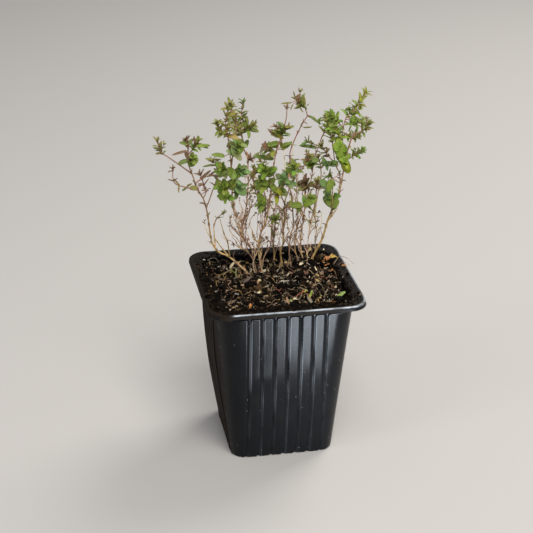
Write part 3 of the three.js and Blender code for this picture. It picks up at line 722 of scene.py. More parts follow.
def buildPot():
    # the ringed wall, closed by four quarters of the floor round their drain holes
    rings, paintedLightMask = wallRings(*potSections())
    rings[..., 2] = unevenRim(*np.moveaxis(rings, -1, 0))
    skins = [gridSkin(rings)]
    skins[0]["tint"] = potTint(*np.moveaxis(rings, -1, 0), paintedLightMask).reshape(-1, 3)
    perFace = rings.shape[1] // 4
    middle = int(np.argmin(np.abs(rings[0, :perFace, 0])))
    line = np.linspace(0, 1, 12)[:, None]
    for quarter in range(4):
        take = (middle + quarter * perFace + np.arange(perFace + 1)) % rings.shape[1]
        loops = []
        for row in (rings[0], rings[-1]):
            arc, heart = row[take], np.array([0, 0, row[0, 2]])
            inward, outward = mix(arc[-1], heart, line), mix(heart, arc[0], line)
            loops.append(np.concatenate([arc[:-1], inward[:-1], outward[:-1]]))
        away = pot["drainOffset"] * np.sign(loops[0][perFace // 2, :2])
        skins.append(gridSkin(floorPatch(*loops, away), flipped=True, tint=(0, 0, 0)))
    whole = joinedSkins(skins) | {"look": 0}
    makePiece("nursery_pot", [mergedSkin(whole)], [finishes["pot"]], ["pot"])


buildPot()
print("pot built")


# Soil

soil = {
    "level": 95, "rise": 1.4, "bump": 0.8, "half": 37.3, "corner": 11.5, "cells": 230, "floor": 1.6,
    "skirt": (20, 45, 70, 88), "fromPot": 1.95, "heap": 3.4, "sunk": 0.8,
    # heaps in the two back corners: height, x, y, and twice the square of the spread
    "cornerHeaps": [(2.6, -33, 29, 120), (2.2, 33, 24, 110)],
    "fibres": 230, "straws": 40, "grit": 40,
}
peatTones = rowsOf([[0.003, 0.002, 0.0012], [0.007, 0.0042, 0.0025], [0.022, 0.0125, 0.006],
                    [0.070, 0.040, 0.019], [0.25, 0.16, 0.08], [0.58, 0.45, 0.29]])
# lumps over the soil: how many and how far out, the gamma draw of their size, how much each axis
# varies, the least size, how high they sit as a share of it, how many of each peat tone, how large the
# pale ones are, and the rings and sides of each
crumbs = {"count": 2300, "reach": 36.6, "size": (3.0, 0.13), "axes": (0.6, 1.3), "least": 0.15,
          "lift": 0.25, "shares": [0.42, 0.28, 0.17, 0.08, 0.035, 0.015], "pale": 0.55, "grid": (3, 6)}
lumps = {"count": 360, "reach": 35.5, "size": (5.0, 0.22), "axes": (0.7, 1.25), "least": 0.4,
         "lift": 0.1, "shares": [0.5, 0.33, 0.13, 0.04, 0, 0], "pale": 1, "grid": (6, 10)}
# crumbs on the flange: how many, the share of them in front and on the left, the middle and spread of
# its direction, where the strip starts, how wide it is and how high, the draw of their size, their tones
spill = {"count": 3600, "frontShare": 0.72, "heading": (-2.0, 0.75), "from": 36.4, "strip": 6.3,
         "level": 99.55, "size": (2.4, 0.15), "shares": [0.44, 0.31, 0.16, 0.06, 0.02, 0.01]}
# thin blades over the soil: how many, the gamma draw of their length and the least, how high, how many
# of each tone, width as a share of the length and the least, how they curl, ripple and vary in tone
slivers = {"count": 340, "length": (2.2, 0.95), "least": 1.2, "lift": 0.35,
           "shares": [0.16, 0.17, 0.27, 0.09, 0.06, 0.25], "widths": (0.18, 0.45), "narrowest": 0,
           "curl": 0.8, "ripple": 0.2, "shade": (0.5, 1.2)}
flakes = {"count": 480, "length": (2.0, 0.95), "least": 0.7, "lift": 0.4,
          "shares": [0.26, 0.28, 0.2, 0.08, 0.08, 0.1], "widths": (0.06, 0.28), "narrowest": 0.25,
          "curl": 0.7, "ripple": 0.1, "shade": (0.3, 1.25)}
fibreTones = rowsOf([[0.42, 0.29, 0.16], [0.30, 0.17, 0.09], [0.16, 0.09, 0.05], [0.55, 0.45, 0.31],
                     [0.34, 0.13, 0.06], [0.09, 0.055, 0.035]])
fibreShares = [0.2, 0.17, 0.26, 0.07, 0.06, 0.24]
scrapTones = {
    "cream": (0.68, 0.56, 0.36), "white": (0.76, 0.72, 0.64), "tan": (0.50, 0.36, 0.20),
    "golden": (0.64, 0.42, 0.13), "orange": (0.58, 0.23, 0.06), "red": (0.46, 0.14, 0.08),
    "grey": (0.34, 0.27, 0.19), "brown": (0.19, 0.10, 0.065), "moss": (0.34, 0.42, 0.07),
    "olive": (0.34, 0.30, 0.13), "pinkish": (0.50, 0.33, 0.22),
}


def soilBase(x, y):
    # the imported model's gentle soil surface
    slope = soil["rise"] * (x / 38 - y / 80)
    bumps = np.sin(x / 5.3 + 1) * np.cos(y / 4.7) + 0.4 * np.sin((x + y) / 2.9)
    return soil["level"] + slope + soil["bump"] * bumps


def soilGround(x, y):
    # that surface, heaped against the flange, most of all in front and on the left, heaped as a bell
    # curve in the two back corners, and sunk a little along the edge where it isn't heaped
    edge = np.maximum(np.abs(x), np.abs(y)) / soil["half"]
    heaped = np.clip(0.55 - 0.02 * x - 0.013 * y, 0, 1) * smoothStep(0.68, 0.98, edge)
    corners = sum(height * np.exp(-((x - atX) ** 2 + (y - atY) ** 2) / spread)
                  for height, atX, atY, spread in soil["cornerHeaps"])
    sunk = soil["sunk"] * smoothStep(0.88, 1.0, edge) * (1 - heaped)
    return soilBase(x, y) + soil["heap"] * heaped + corners - sunk


def soilHeight(x, y):
    # the ground with clods on it: broad noise, and finer noise folded upwards
    place = flat(x, y)
    clodded = (1.3 * softNoise(place, 8, 1) + 3.1 * np.abs(softNoise(place, 4.8, 2)) ** 0.8
               + 1.0 * softNoise(place, 1.9, 4, 3) - 1.2)
    return soilGround(x, y) + clodded


def squareReach(angle, half, corner):
    # distance from the middle to a rounded square's outline in that direction
    c, s = np.abs(np.cos(angle)), np.abs(np.sin(angle))
    side = half / np.maximum(c, s)
    inner = half - corner
    along = inner * (c + s)
    arc = along + np.sqrt(np.maximum(along ** 2 - 2 * inner ** 2 + corner ** 2, 0))
    return np.where(side * np.minimum(c, s) > inner, arc, side)


def buildSoil():
    # a square grid whose corners are drawn in to the rounded outline; a skirt goes down the pot's wall
    # to a flat underside
    n = soil["cells"]
    u, v = np.meshgrid(np.linspace(-1, 1, n), np.linspace(-1, 1, n))
    angle = np.arctan2(v, u)
    away = np.maximum(np.abs(u), np.abs(v))
    plain = 1 / np.maximum(np.abs(np.cos(angle)), np.abs(np.sin(angle)))
    drawn = mix(1, squareReach(angle, soil["half"], soil["corner"]) / (soil["half"] * plain), away ** 5)
    x, y = soil["half"] * u * drawn, soil["half"] * v * drawn
    z = soilHeight(x, y)
    top = np.stack([x, y, z], -1).reshape(-1, 3)
    shade = softNoise(top, 2.4, 20, 3, 0.6)[:, None] * 0.5 + 0.5
    tint = mix(peatTones[0], peatTones[2], np.clip(shade, 0, 1) ** 2.4)
    i = np.arange(n - 1)
    loop = np.concatenate([i, (i + 1) * n - 1, n * n - 1 - i, (n - 1 - i) * n])
    edge = top[loop]
    rows = []
    for height in (soil["floor"], *soil["skirt"]):
        shrink = (bodyHalf(height) - soil["fromPot"]) / (bodyHalf(soil["level"]) - soil["fromPot"])
        rows.append(edge * [shrink, shrink, 0] + [0, 0, height])
    skirt = np.stack([*rows, edge])
    skins = [gridSkin(top.reshape(n, n, 3), wrap=False)]
    skins[0]["tint"] = tint
    side = gridSkin(skirt, tint=peatTones[1])
    pole = len(side["points"])
    c = np.arange(len(edge))
    side["points"] = np.vstack([side["points"], [[0, 0, soil["floor"]]]])
    side["uv"] = np.vstack([side["uv"], [[0, 0]]])
    side["tint"] = np.vstack([side["tint"], peatTones[1:2]])
    side["fans"] = np.stack([pole + 0 * c, (c + 1) % len(c), c], -1)
    skins.append(side)
    whole = mergedSkin(joinedSkins(skins) | {"look": 0})
    makePiece("potting_soil", [whole], [finishes["soil"]], ["soil"])


def scattered(rng, count, half):
    # random places inside the rounded outline
    x, y = rng.uniform(-half, half, (2, 3 * count))
    inside = np.hypot(x, y) < squareReach(np.arctan2(y, x), half, soil["corner"])
    return x[inside][:count], y[inside][:count]


def tonesFor(rng, count, shares):
    # a tint for each crumb: one of the peat tones, drawn by its share, a little lighter or darker
    pick = rng.choice(len(peatTones), count, p=shares)
    return peatTones[pick] * rng.uniform(0.7, 1.35, (count, 1))


def paleScale(tints, pale):
    # 1 for a dark lump and `pale` for a pale one
    return mix(1, pale, smoothStep(0.03, 0.09, tints.mean(1, keepdims=True)))


def strewnLumps(rng, kind):
    # lumps at random places on the soil, each turned any way
    x, y = scattered(rng, kind["count"], kind["reach"])
    size = rng.gamma(*kind["size"], (len(x), 1)) * rng.uniform(*kind["axes"], (len(x), 3)) + kind["least"]
    centre = np.stack([x, y, soilHeight(x, y) + kind["lift"] * size[:, 2]], -1)
    tints = tonesFor(rng, len(x), kind["shares"])
    size = size * paleScale(tints, kind["pale"])
    return clods(centre, size, randomFrames(rng, len(x)), tints, rng, *kind["grid"])


def strewnGrit(rng):
    # small cream grains
    x, y = scattered(rng, soil["grit"], crumbs["reach"])
    size = rng.uniform(0.25, 0.7, (len(x), 3))
    centre = np.stack([x, y, soilHeight(x, y) + 0.5], -1)
    tints = rng.uniform(0.45, 0.8, (len(x), 1)) * rowsOf([[1, 0.93, 0.82]])
    return clods(centre, size, randomFrames(rng, len(x)), tints, rng)


def spilledCrumbs(rng):
    # spilled on the flange: most of it in front and on the left, and near the soil
    count = spill["count"]
    angle = np.where(rng.random(count) < spill["frontShare"], rng.normal(*spill["heading"], count),
                     rng.uniform(0, 2 * np.pi, count))
    share = rng.random(count) ** 1.15
    reach = squareReach(angle, 1, 0.26) * (spill["from"] + spill["strip"] * share)
    size = rng.gamma(*spill["size"], (count, 1)) * (1.15 - 0.55 * share[:, None]) + 0.1
    size = size * rng.uniform(*crumbs["axes"], (count, 3))
    z = spill["level"] + 0.35 * size[:, 2]
    centre = np.stack([reach * np.cos(angle), reach * np.sin(angle), z], -1)
    tints = tonesFor(rng, count, spill["shares"])
    size = size * paleScale(tints, crumbs["pale"])
    return clods(centre, size, randomFrames(rng, count), tints, rng)


def buildCrumbs(rng):
    onSoil = [strewnLumps(rng, crumbs), strewnLumps(rng, lumps), strewnGrit(rng)]
    onRim = [spilledCrumbs(rng)]
    makePiece("peat_crumbs", onSoil, [finishes["soil"]])
    makePiece("rim_crumbs", onRim, [finishes["soil"]])


def lyingThread(rng, x, y, heading, length, radius, tint, arch=0.6, sides=4):
    # a thread over the soil: its heading swings slowly, and it follows the surface with a low arch
    t = np.linspace(0, 1, 9)
    swing = heading + rng.normal(0, 0.45) * (t - 0.5) * 2 + rng.normal(0, 0.35) * np.sin(2 * np.pi * t)
    step = length / (len(t) - 1)
    px = x + np.cumsum(np.cos(swing)) * step - length / 2 * np.cos(heading)
    py = y + np.cumsum(np.sin(swing)) * step - length / 2 * np.sin(heading)
    limit = squareReach(np.arctan2(py, px), 37, soil["corner"]) / np.maximum(np.hypot(px, py), 1e-6)
    px, py = px * np.minimum(limit, 1), py * np.minimum(limit, 1)
    ground = soilHeight(px, py)
    ground = (ground + np.roll(ground, 1) + np.roll(ground, -1)) / 3
    pz = ground + radius + 0.15 + arch * np.sin(np.pi * t) * rng.uniform(0.2, 1.2)
    taper = radius * (1 - 0.55 * t) * (1 + 0.25 * np.sin(17 * t + heading))
    return tube(np.stack([px, py, pz], -1), taper, sides, tint)


def strewnBlades(rng, x, y, along, upper, kind, tones):
    # thin blades with their middles over x and y, of random lengths, widths, bends and tones
    count = len(x)
    length = kind["least"] + rng.gamma(*kind["length"], count)
    base = np.stack([x, y, soilHeight(x, y) + kind["lift"]], -1) - along * length[:, None] / 2
    pick = rng.choice(len(tones), count, p=kind["shares"])
    width = kind["narrowest"] + length * rng.uniform(*kind["widths"], count)
    curl, fold = rng.normal(0, kind["curl"], count), rng.normal(0, 0.4, count)
    tint = tones[pick] * rng.uniform(*kind["shade"], (count, 1))
    return leafBlades(base, along, upper, length, width, curl, fold, tint, 0.5, kind["ripple"],
                      rows=flakeRows)


def buildFibres(rng):
    # root fibres and flat slivers of bark
    threads = []
    for px, py in zip(*scattered(rng, soil["fibres"], 35.5)):
        tone = fibreTones[rng.choice(len(fibreTones), p=fibreShares)] * rng.uniform(0.6, 1.2)
        radius = 0.07 + rng.gamma(2.0, 0.04)
        heading, length = rng.uniform(0, 2 * np.pi), rng.uniform(3, 15)
        threads.append(lyingThread(rng, px, py, heading, length, radius, tone))
    x, y = scattered(rng, slivers["count"], 36)
    heading = rng.uniform(0, 2 * np.pi, len(x))
    along = unit(np.stack([np.cos(heading), np.sin(heading), rng.normal(0, 0.35, len(x))], -1))
    upper = squareTo(along, unit(rng.normal(0, 0.5, (len(x), 3)) + [0, 0, 1]))
    threads.append(strewnBlades(rng, x, y, along, upper, slivers, fibreTones))

    # pale flakes and straws, the brightest things on the soil
    pale = rowsOf([scrapTones[name] for name in ("cream", "tan", "golden", "white", "pinkish", "olive")])
    x, y = scattered(rng, flakes["count"], 36)
    along = unit(rng.normal(size=(len(x), 3)) * [1, 1, 0.45])
    upper = squareTo(along, rng.normal(0, 0.45, (len(x), 3)) + [0, -0.3, 1])
    threads.append(strewnBlades(rng, x, y, along, upper, flakes, pale))
    for px, py in zip(*scattered(rng, soil["straws"], 34)):
        tone = pale[rng.integers(len(pale))] * rng.uniform(0.45, 0.95)
        heading, length, radius = rng.uniform(0, 2 * np.pi), rng.uniform(3, 8), rng.uniform(0.13, 0.25)
        threads.append(lyingThread(rng, px, py, heading, length, radius, tone, arch=1.2, sides=5))
    makePiece("soil_fibres", threads, [finishes["dry"]])


soilRandom = np.random.default_rng(11)
buildSoil()
buildCrumbs(soilRandom)
buildFibres(soilRandom)
print("soil built")


# Litter

def toneOf(tone):
    # a scrap's tone by its name, or the colour itself
    return np.array(scrapTones[tone] if isinstance(tone, str) else tone)


def lyingBlade(start, end, width, tone, curl=0.5, fold=0.3, ripple=0.0, facing=(0.05, -0.45, 0.9)):
    # one blade from start to end, each x, y and height over the soil, its upper side turned to `facing`
    ends = rowsOf([start, end])
    ends[:, 2] += soilHeight(ends[:, 0], ends[:, 1])
    along = ends[1:] - ends[:1]
    length = np.linalg.norm(along)
    along = along / length
    upper = squareTo(along, rowsOf([facing]))
    return leafBlades(ends[:1], along, upper, length, width, curl, fold, toneOf(tone)[None], ripple=ripple)


def lyingRoot(route, radius, tone, bulge=0.0):
    # a root or twig over the soil, tapered, uneven and with a swelling near its start: each route
    # point is x, y and its height over the ground
    path = smoothRoute(route, 28 if len(route) > 2 else 12)
    path[:, 2] += soilGround(path[:, 0], path[:, 1]) + 1.0
    t = np.linspace(0, 1, len(path))
    swollen = 1 + bulge * np.exp(-((t - 0.3) / 0.12) ** 2)
    thick = 0.72 * radius * (1 - 0.6 * t + 0.2 * np.sin(14 * t)) * swollen
    return tube(path, thick, 6, 0.8 * toneOf(tone))


# smaller scraps: routes with a radius and a tone, and blades with their two ends, width and tone
scraps = {
    "roots": [
        ([[33, 16, 0.8], [36, 17.5, 1.4], [39, 18, 2.0]], 0.45, "orange"),
        ([[37, 13, 0.6], [36.4, 4, 1.6], [36, -2, 0.6]], 0.3, "pinkish"),
        ([[36.2, -9, 1.6], [38.6, -6.5, 4.4]], 0.42, "cream"),
        ([[13, -16, 1.2], [15, -22, 1.5], [16, -29, 0.8], [22, -35, 0.9], [27, -37, 1.0]], 0.36, "orange"),
        ([[11, -21, 0.4], [12.5, -17, 1.6], [14, -16, 1.4], [15.5, -22, 0.4]], 0.34, "orange"),
        ([[9, -19, 0.4], [13, -17.5, 1.5], [18, -22, 0.5]], 0.3, "red"),
        ([[-7, -29, 0.5], [-5, -31, 0.8], [-3, -32, 0.9], [-1, -28, 1.4], [0, -23, 0.6]], 0.34, "pinkish"),
        ([[-1, -8, 0.6], [0, -11, 1.4], [1, -14, 0.4]], 0.36, "red"),
        ([[-33, 33, 1.0], [-29.5, 32.5, 1.3], [-28, 28, 0.6]], 0.32, "grey"),
        ([[-19, 21, 2.6], [-20.5, 13, 1.8], [-19, 7, 0.6]], 0.6, "olive"),
        ([[-27, 18, 1.0], [-24, 20.5, 2.0], [-21, 21, 1.4], [-20, 15, 1.2]], 0.42, "olive"),
        ([[-22, 25, 1.0], [-21, 19, 1.8], [-17, 12, 0.6]], 0.34, "moss"),
        ([[-26, 11, 0.6], [-24.6, 7, 1.6], [-27, 2, 1.4], [-26, -3, 0.6]], 0.38, "pinkish"),
        ([[-24, -4, 0.7], [-22, -7, 1.4], [-21, -13, 0.5]], 0.36, "golden"),
        ([[-31, 16, 0.5], [-30, 10, 1.2], [-27, 13, 0.6]], 0.34, "grey"),
        ([[8, 24, 2.4], [6, 19, 0.6]], 0.5, "tan"),
        ([[21, 0, 0.4], [24, 1.5, 2.4], [27, -3, 0.6]], 0.26, "olive"),
        ([[22, -6, 0.4], [25, -3, 2.0], [29, -9, 0.5]], 0.24, "tan"),
        ([[20, -9, 0.4], [24, -9, 1.8], [26, -14, 0.4]], 0.24, "cream"),
        ([[38, 15, 2.6], [42, 16.5, 6.0], [46, 14, 5.4], [48.5, 9, 3.8]], 0.3, "pinkish"),
        ([[39, 12, 2.6], [43, 12, 4.8], [46, 8, 4.0]], 0.24, "red"),
        ([[-5, 4, 0.3], [-3, 0, 1.4], [-5, -6, 0.4]], 0.26, "grey"),
        ([[3, 10, 0.4], [7, 8.5, 1.3], [12, 9.5, 0.3]], 0.3, "grey"),
    ],
    "blades": [
        ((15, 11, 1.0), (20, 14, 1.8), 2.6, "grey"), ((18.5, 20, 0.8), (22, 22, 1.8), 2.0, "cream"),
        ((21.5, 19, 0.6), (25, 21.5, 1.2), 1.8, "cream"),
        ((24, 35, 0.5), (24, 36, 5.6), 3.0, (0.60, 0.44, 0.25)),
        ((6, -23, 0.5), (11, -17, 1.6), 2.6, "cream"), ((15, -23, 0.8), (18, -19, 2.2), 1.6, "moss"),
        ((13, -19, 1.0), (15.5, -17, 2.4), 1.3, "moss"), ((33, -32, 0.6), (36, -32, 0.9), 1.1, "cream"),
        ((-17, 6, 0.8), (-11, 9.4, 2.6), 2.4, (0.13, 0.095, 0.07)),
        ((-22, 26, 1.4), (-19, 28, 2.2), 1.8, "cream"), ((-13, -12, 0.6), (-10, -10, 1.4), 1.9, "cream"),
        ((-20.5, -33, 0.2), (-20.2, -32.6, 3.2), 1.9, "orange"),
        ((-18, -25, 0.6), (-15.5, -27, 0.9), 1.0, "olive"),
        ((-36, 33, 1.4), (-33, 34.4, 2.0), 1.3, "white"),
        ((-37.5, 30, 1.6), (-35, 31, 2.2), 0.9, "white"), ((28, 8, 0.6), (30.4, 3, 2.0), 0.9, "tan"),
        ((41.5, 9.5, 5.5), (44.5, 8.5, 6.0), 1.6, (0.36, 0.16, 0.05)),
        ((-4, 7, 0.8), (-2, 10, 1.8), 1.3, "brown"), ((2, -27, 0.5), (3.4, -24.5, 2.6), 1.2, "moss"),
        ((4.4, -27, 0.5), (4.2, -24, 2.8), 1.2, "moss"), ((5.4, -26, 0.5), (6.8, -24, 2.0), 1.1, "moss"),
        ((2.6, -28, 0.5), (1.2, -26, 2.0), 1.0, "moss"),
        ((29, -27.5, 0.5), (31.4, -25, 0.9), 0.7, "cream"), ((-31, -4, 0.6), (-28, -5, 1.2), 1.1, "tan"),
        ((-12, 22, 0.6), (-9, 24, 2.2), 1.4, "cream"), ((1, 14, 0.6), (4, 13, 1.6), 1.5, "brown"),
        ((29, 35, 1.5), (28.5, 36, 5.5), 2.2, (0.44, 0.38, 0.15)),
        ((36, 34, 2), (36.8, 35, 5.5), 1.4, "cream"), ((36, 14.5, 1.0), (39, 14, 2.0), 1.3, "orange")],
    # middles of clusters of cream specks and of old stem stubs: x, y, how many, how far round
    "specks": [
        (-4, 0, 16, 5), (-2, -14, 10, 4), (-35, -9, 4, 3), (-27, -22, 5, 4), (22, 12, 8, 5),
        (-30, 30, 8, 5), (14, -5, 6, 5), (40, 14, 4, 2), (12, 29, 10, 6), (24, 30, 9, 5), (0, 27, 7, 5),
        (32, 12, 6, 4)],
    "stubs": [
        (17.5, 27, 15, 4), (7, 26, 5, 3), (-5, 18, 5, 3), (27, 31, 5, 3), (-12, 18, 4, 2.5)],
}


def buildScraps(rng):
    skins = [lyingRoot(*root) for root in scraps["roots"]]
    skins += [lyingBlade(*blade, curl=rng.uniform(0.2, 1.3), fold=rng.uniform(0.3, 1.0), ripple=0.25)
              for blade in scraps["blades"]]
    for x, y, count, spread in scraps["specks"]:
        at = rng.normal(0, spread / 2, (count, 2)) + [x, y]
        size = rng.uniform(0.2, 0.6, (count, 3)) * [1.5, 1, 0.7]
        centre = np.column_stack([at, soilHeight(*at.T) + 0.35])
        tints = rowsOf([scrapTones["cream"]]) * rng.uniform(0.6, 1.15, (count, 1))
        skins.append(clods(centre, size, randomFrames(rng, count), tints, rng))
    for x, y, count, spread in scraps["stubs"]:
        for px, py in rng.normal(0, spread / 2, (count, 2)) + [x, y]:
            lean = rng.normal(0, 1.6, 2)
            route = [[px, py, -1.2], [px + lean[0], py + lean[1], rng.uniform(1.5, 5.5)]]
            radius = rng.uniform(0.25, 0.5)
            skins.append(lyingRoot(route, radius, ("brown", "grey", "tan")[rng.integers(3)]))
    makePiece("soil_scraps", skins, [finishes["dry"]])


# the orange chip's three lumps, turned alike
chip = {"middles": [[34.8, 21.5, 99.8], [36.8, 22.6, 99.9], [33.4, 20.6, 99.2]],
        "sizes": [[2.5, 1.9, 1.5], [1.5, 1.1, 0.9], [1.3, 1.0, 0.8]],
        "tones": [[0.40, 0.16, 0.05], [0.48, 0.24, 0.08], [0.28, 0.10, 0.04]],
        "axes": [[0.94, 0.34, 0.1], [-0.34, 0.94, 0.2], [0.1, -0.2, 1]]}
# the larger scraps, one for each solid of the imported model. A root has a route, a radius, a tone and a
# swelling, and a blade has its two ends, width, tone, curl, fold, ripple and facing.
litter = {
    "leaf_yellow": {"piece": "leaf_yellow_dry", "finish": "dry", "slot": "dry_leaf", "blades": [
        ((38, 22, 1.0), (42, 21, 6.5), 2.6, (0.64, 0.45, 0.12), 0.9, 1.0, 0.5),
        ((38, 24, 0.5), (41, 26, 4.5), 2.0, (0.54, 0.34, 0.09), 1.2, 0.9, 0.5)]},
    "leaf_tan": {"piece": "leaf_tan_dry", "finish": "dry", "slot": "dry_leaf", "blades": [
        ((-9.6, 1.5, 0.2), (-8.2, 3.5, 6.8), 2.8, (0.70, 0.53, 0.27), 1.2, 0.9, 0.4),
        ((-9.4, 0.4, 0.0), (-9.8, 1.4, 4.2), 2.3, (0.36, 0.20, 0.13), 0.7, 0.8, 0.4)]},
    "root_pale": {"piece": "root_pale_bit", "finish": "dry", "slot": "dry_leaf", "roots": [
        ([[2.4, -1.2, 0.2], [4.5, -1.2, 0.7], [7, -0.8, 0.8], [9.5, 0.4, 0.6], [13, 2.4, 0.4]],
         0.55, (0.56, 0.48, 0.38), 1.2)],
        "blades": [((3, -1.6, 1.2), (9, -0.4, 1.9), 2.3, (0.74, 0.70, 0.56))]},
    "leaf_fallen": {"piece": "leaf_green_fallen", "finish": "leaf", "slot": "leaf_green", "blades": [
        ((29, -32, 2.5), (35.8, -26.6, 4.5), 2.3, (0.33, 0.47, 0.11), 0.3, 0.5, 0.1, (-0.3, -0.8, 0.6))]},
    "bark_strip": {"piece": "bark_strip_bit", "finish": "dry", "slot": "bark", "blades": [
        ((20, 4, 0.2), (18.8, 7, 6.4), 2.0, (0.13, 0.06, 0.035), 0.5, 0.6, 0.3),
        ((20.6, 4.4, 0.2), (20.4, 6.6, 5.0), 1.4, (0.20, 0.09, 0.05), 0.3, 0.5)]},
    "twig_red": {"piece": "twig_red_bit", "finish": "dry", "slot": "bark", "roots": [
        ([[28, 3, 0.6], [29.4, -2, 1.1], [30.4, -7, 0.8], [31, -12.5, 0.2]], 0.46, "red"),
        ([[29.2, -1.4, 1.0], [27.4, -3.2, 1.0], [25.6, -5, 0.4]], 0.3, (0.40, 0.19, 0.09))]},
}


def buildLitter(rng):
    # the chip's lumps keep their own axes, so the axes drawn before their shapes aren't used
    randomFrames(rng, len(chip["sizes"]))
    lumpAxes = unit(rowsOf([chip["axes"]] * len(chip["sizes"])))
    middles, sizes, tones = (rowsOf(chip[key]) for key in ("middles", "sizes", "tones"))
    skin = clods(middles, sizes, lumpAxes, tones, rng, 7, 12)
    makePiece("chip_orange_bark", [skin], [finishes["dry"]], ["chip_orange"])
    for node, scrap in litter.items():
        skins = [lyingRoot(*root) for root in scrap.get("roots", [])]
        skins += [lyingBlade(*blade) for blade in scrap.get("blades", [])]
        makePiece(scrap["piece"], skins, [finishes[scrap["finish"]]], [node])


buildScraps(np.random.default_rng(17))
buildLitter(np.random.default_rng(5))
print("litter laid")


# Plant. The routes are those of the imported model's solids.

def tonesOf(**tones):
    return {name: np.array(tone) for name, tone in tones.items()}


greens = tonesOf(
    green=(0.29, 0.39, 0.062), bright=(0.40, 0.54, 0.08), dark=(0.165, 0.225, 0.042),
    yellow=(0.56, 0.59, 0.06), olive=(0.34, 0.32, 0.08), brown=(0.24, 0.135, 0.07),
    blue=(0.29, 0.46, 0.16), pale=(0.38, 0.49, 0.19), dead=(0.30, 0.18, 0.10))
barks = tonesOf(
    golden=(0.64, 0.42, 0.15), tan=(0.64, 0.42, 0.24), grey=(0.60, 0.45, 0.28),
    brown=(0.37, 0.21, 0.115), red=(0.24, 0.075, 0.06), pink=(0.46, 0.19, 0.15),
    olive=(0.40, 0.30, 0.11), shoot=(0.38, 0.17, 0.11))
# of the thin bare twigs, and how many have each
twigTones = rowsOf([[0.74, 0.50, 0.34], [0.78, 0.56, 0.24], [0.70, 0.50, 0.34], [0.32, 0.17, 0.10],
                    [0.54, 0.28, 0.20]])
twigShares = [0.28, 0.24, 0.2, 0.18, 0.1]

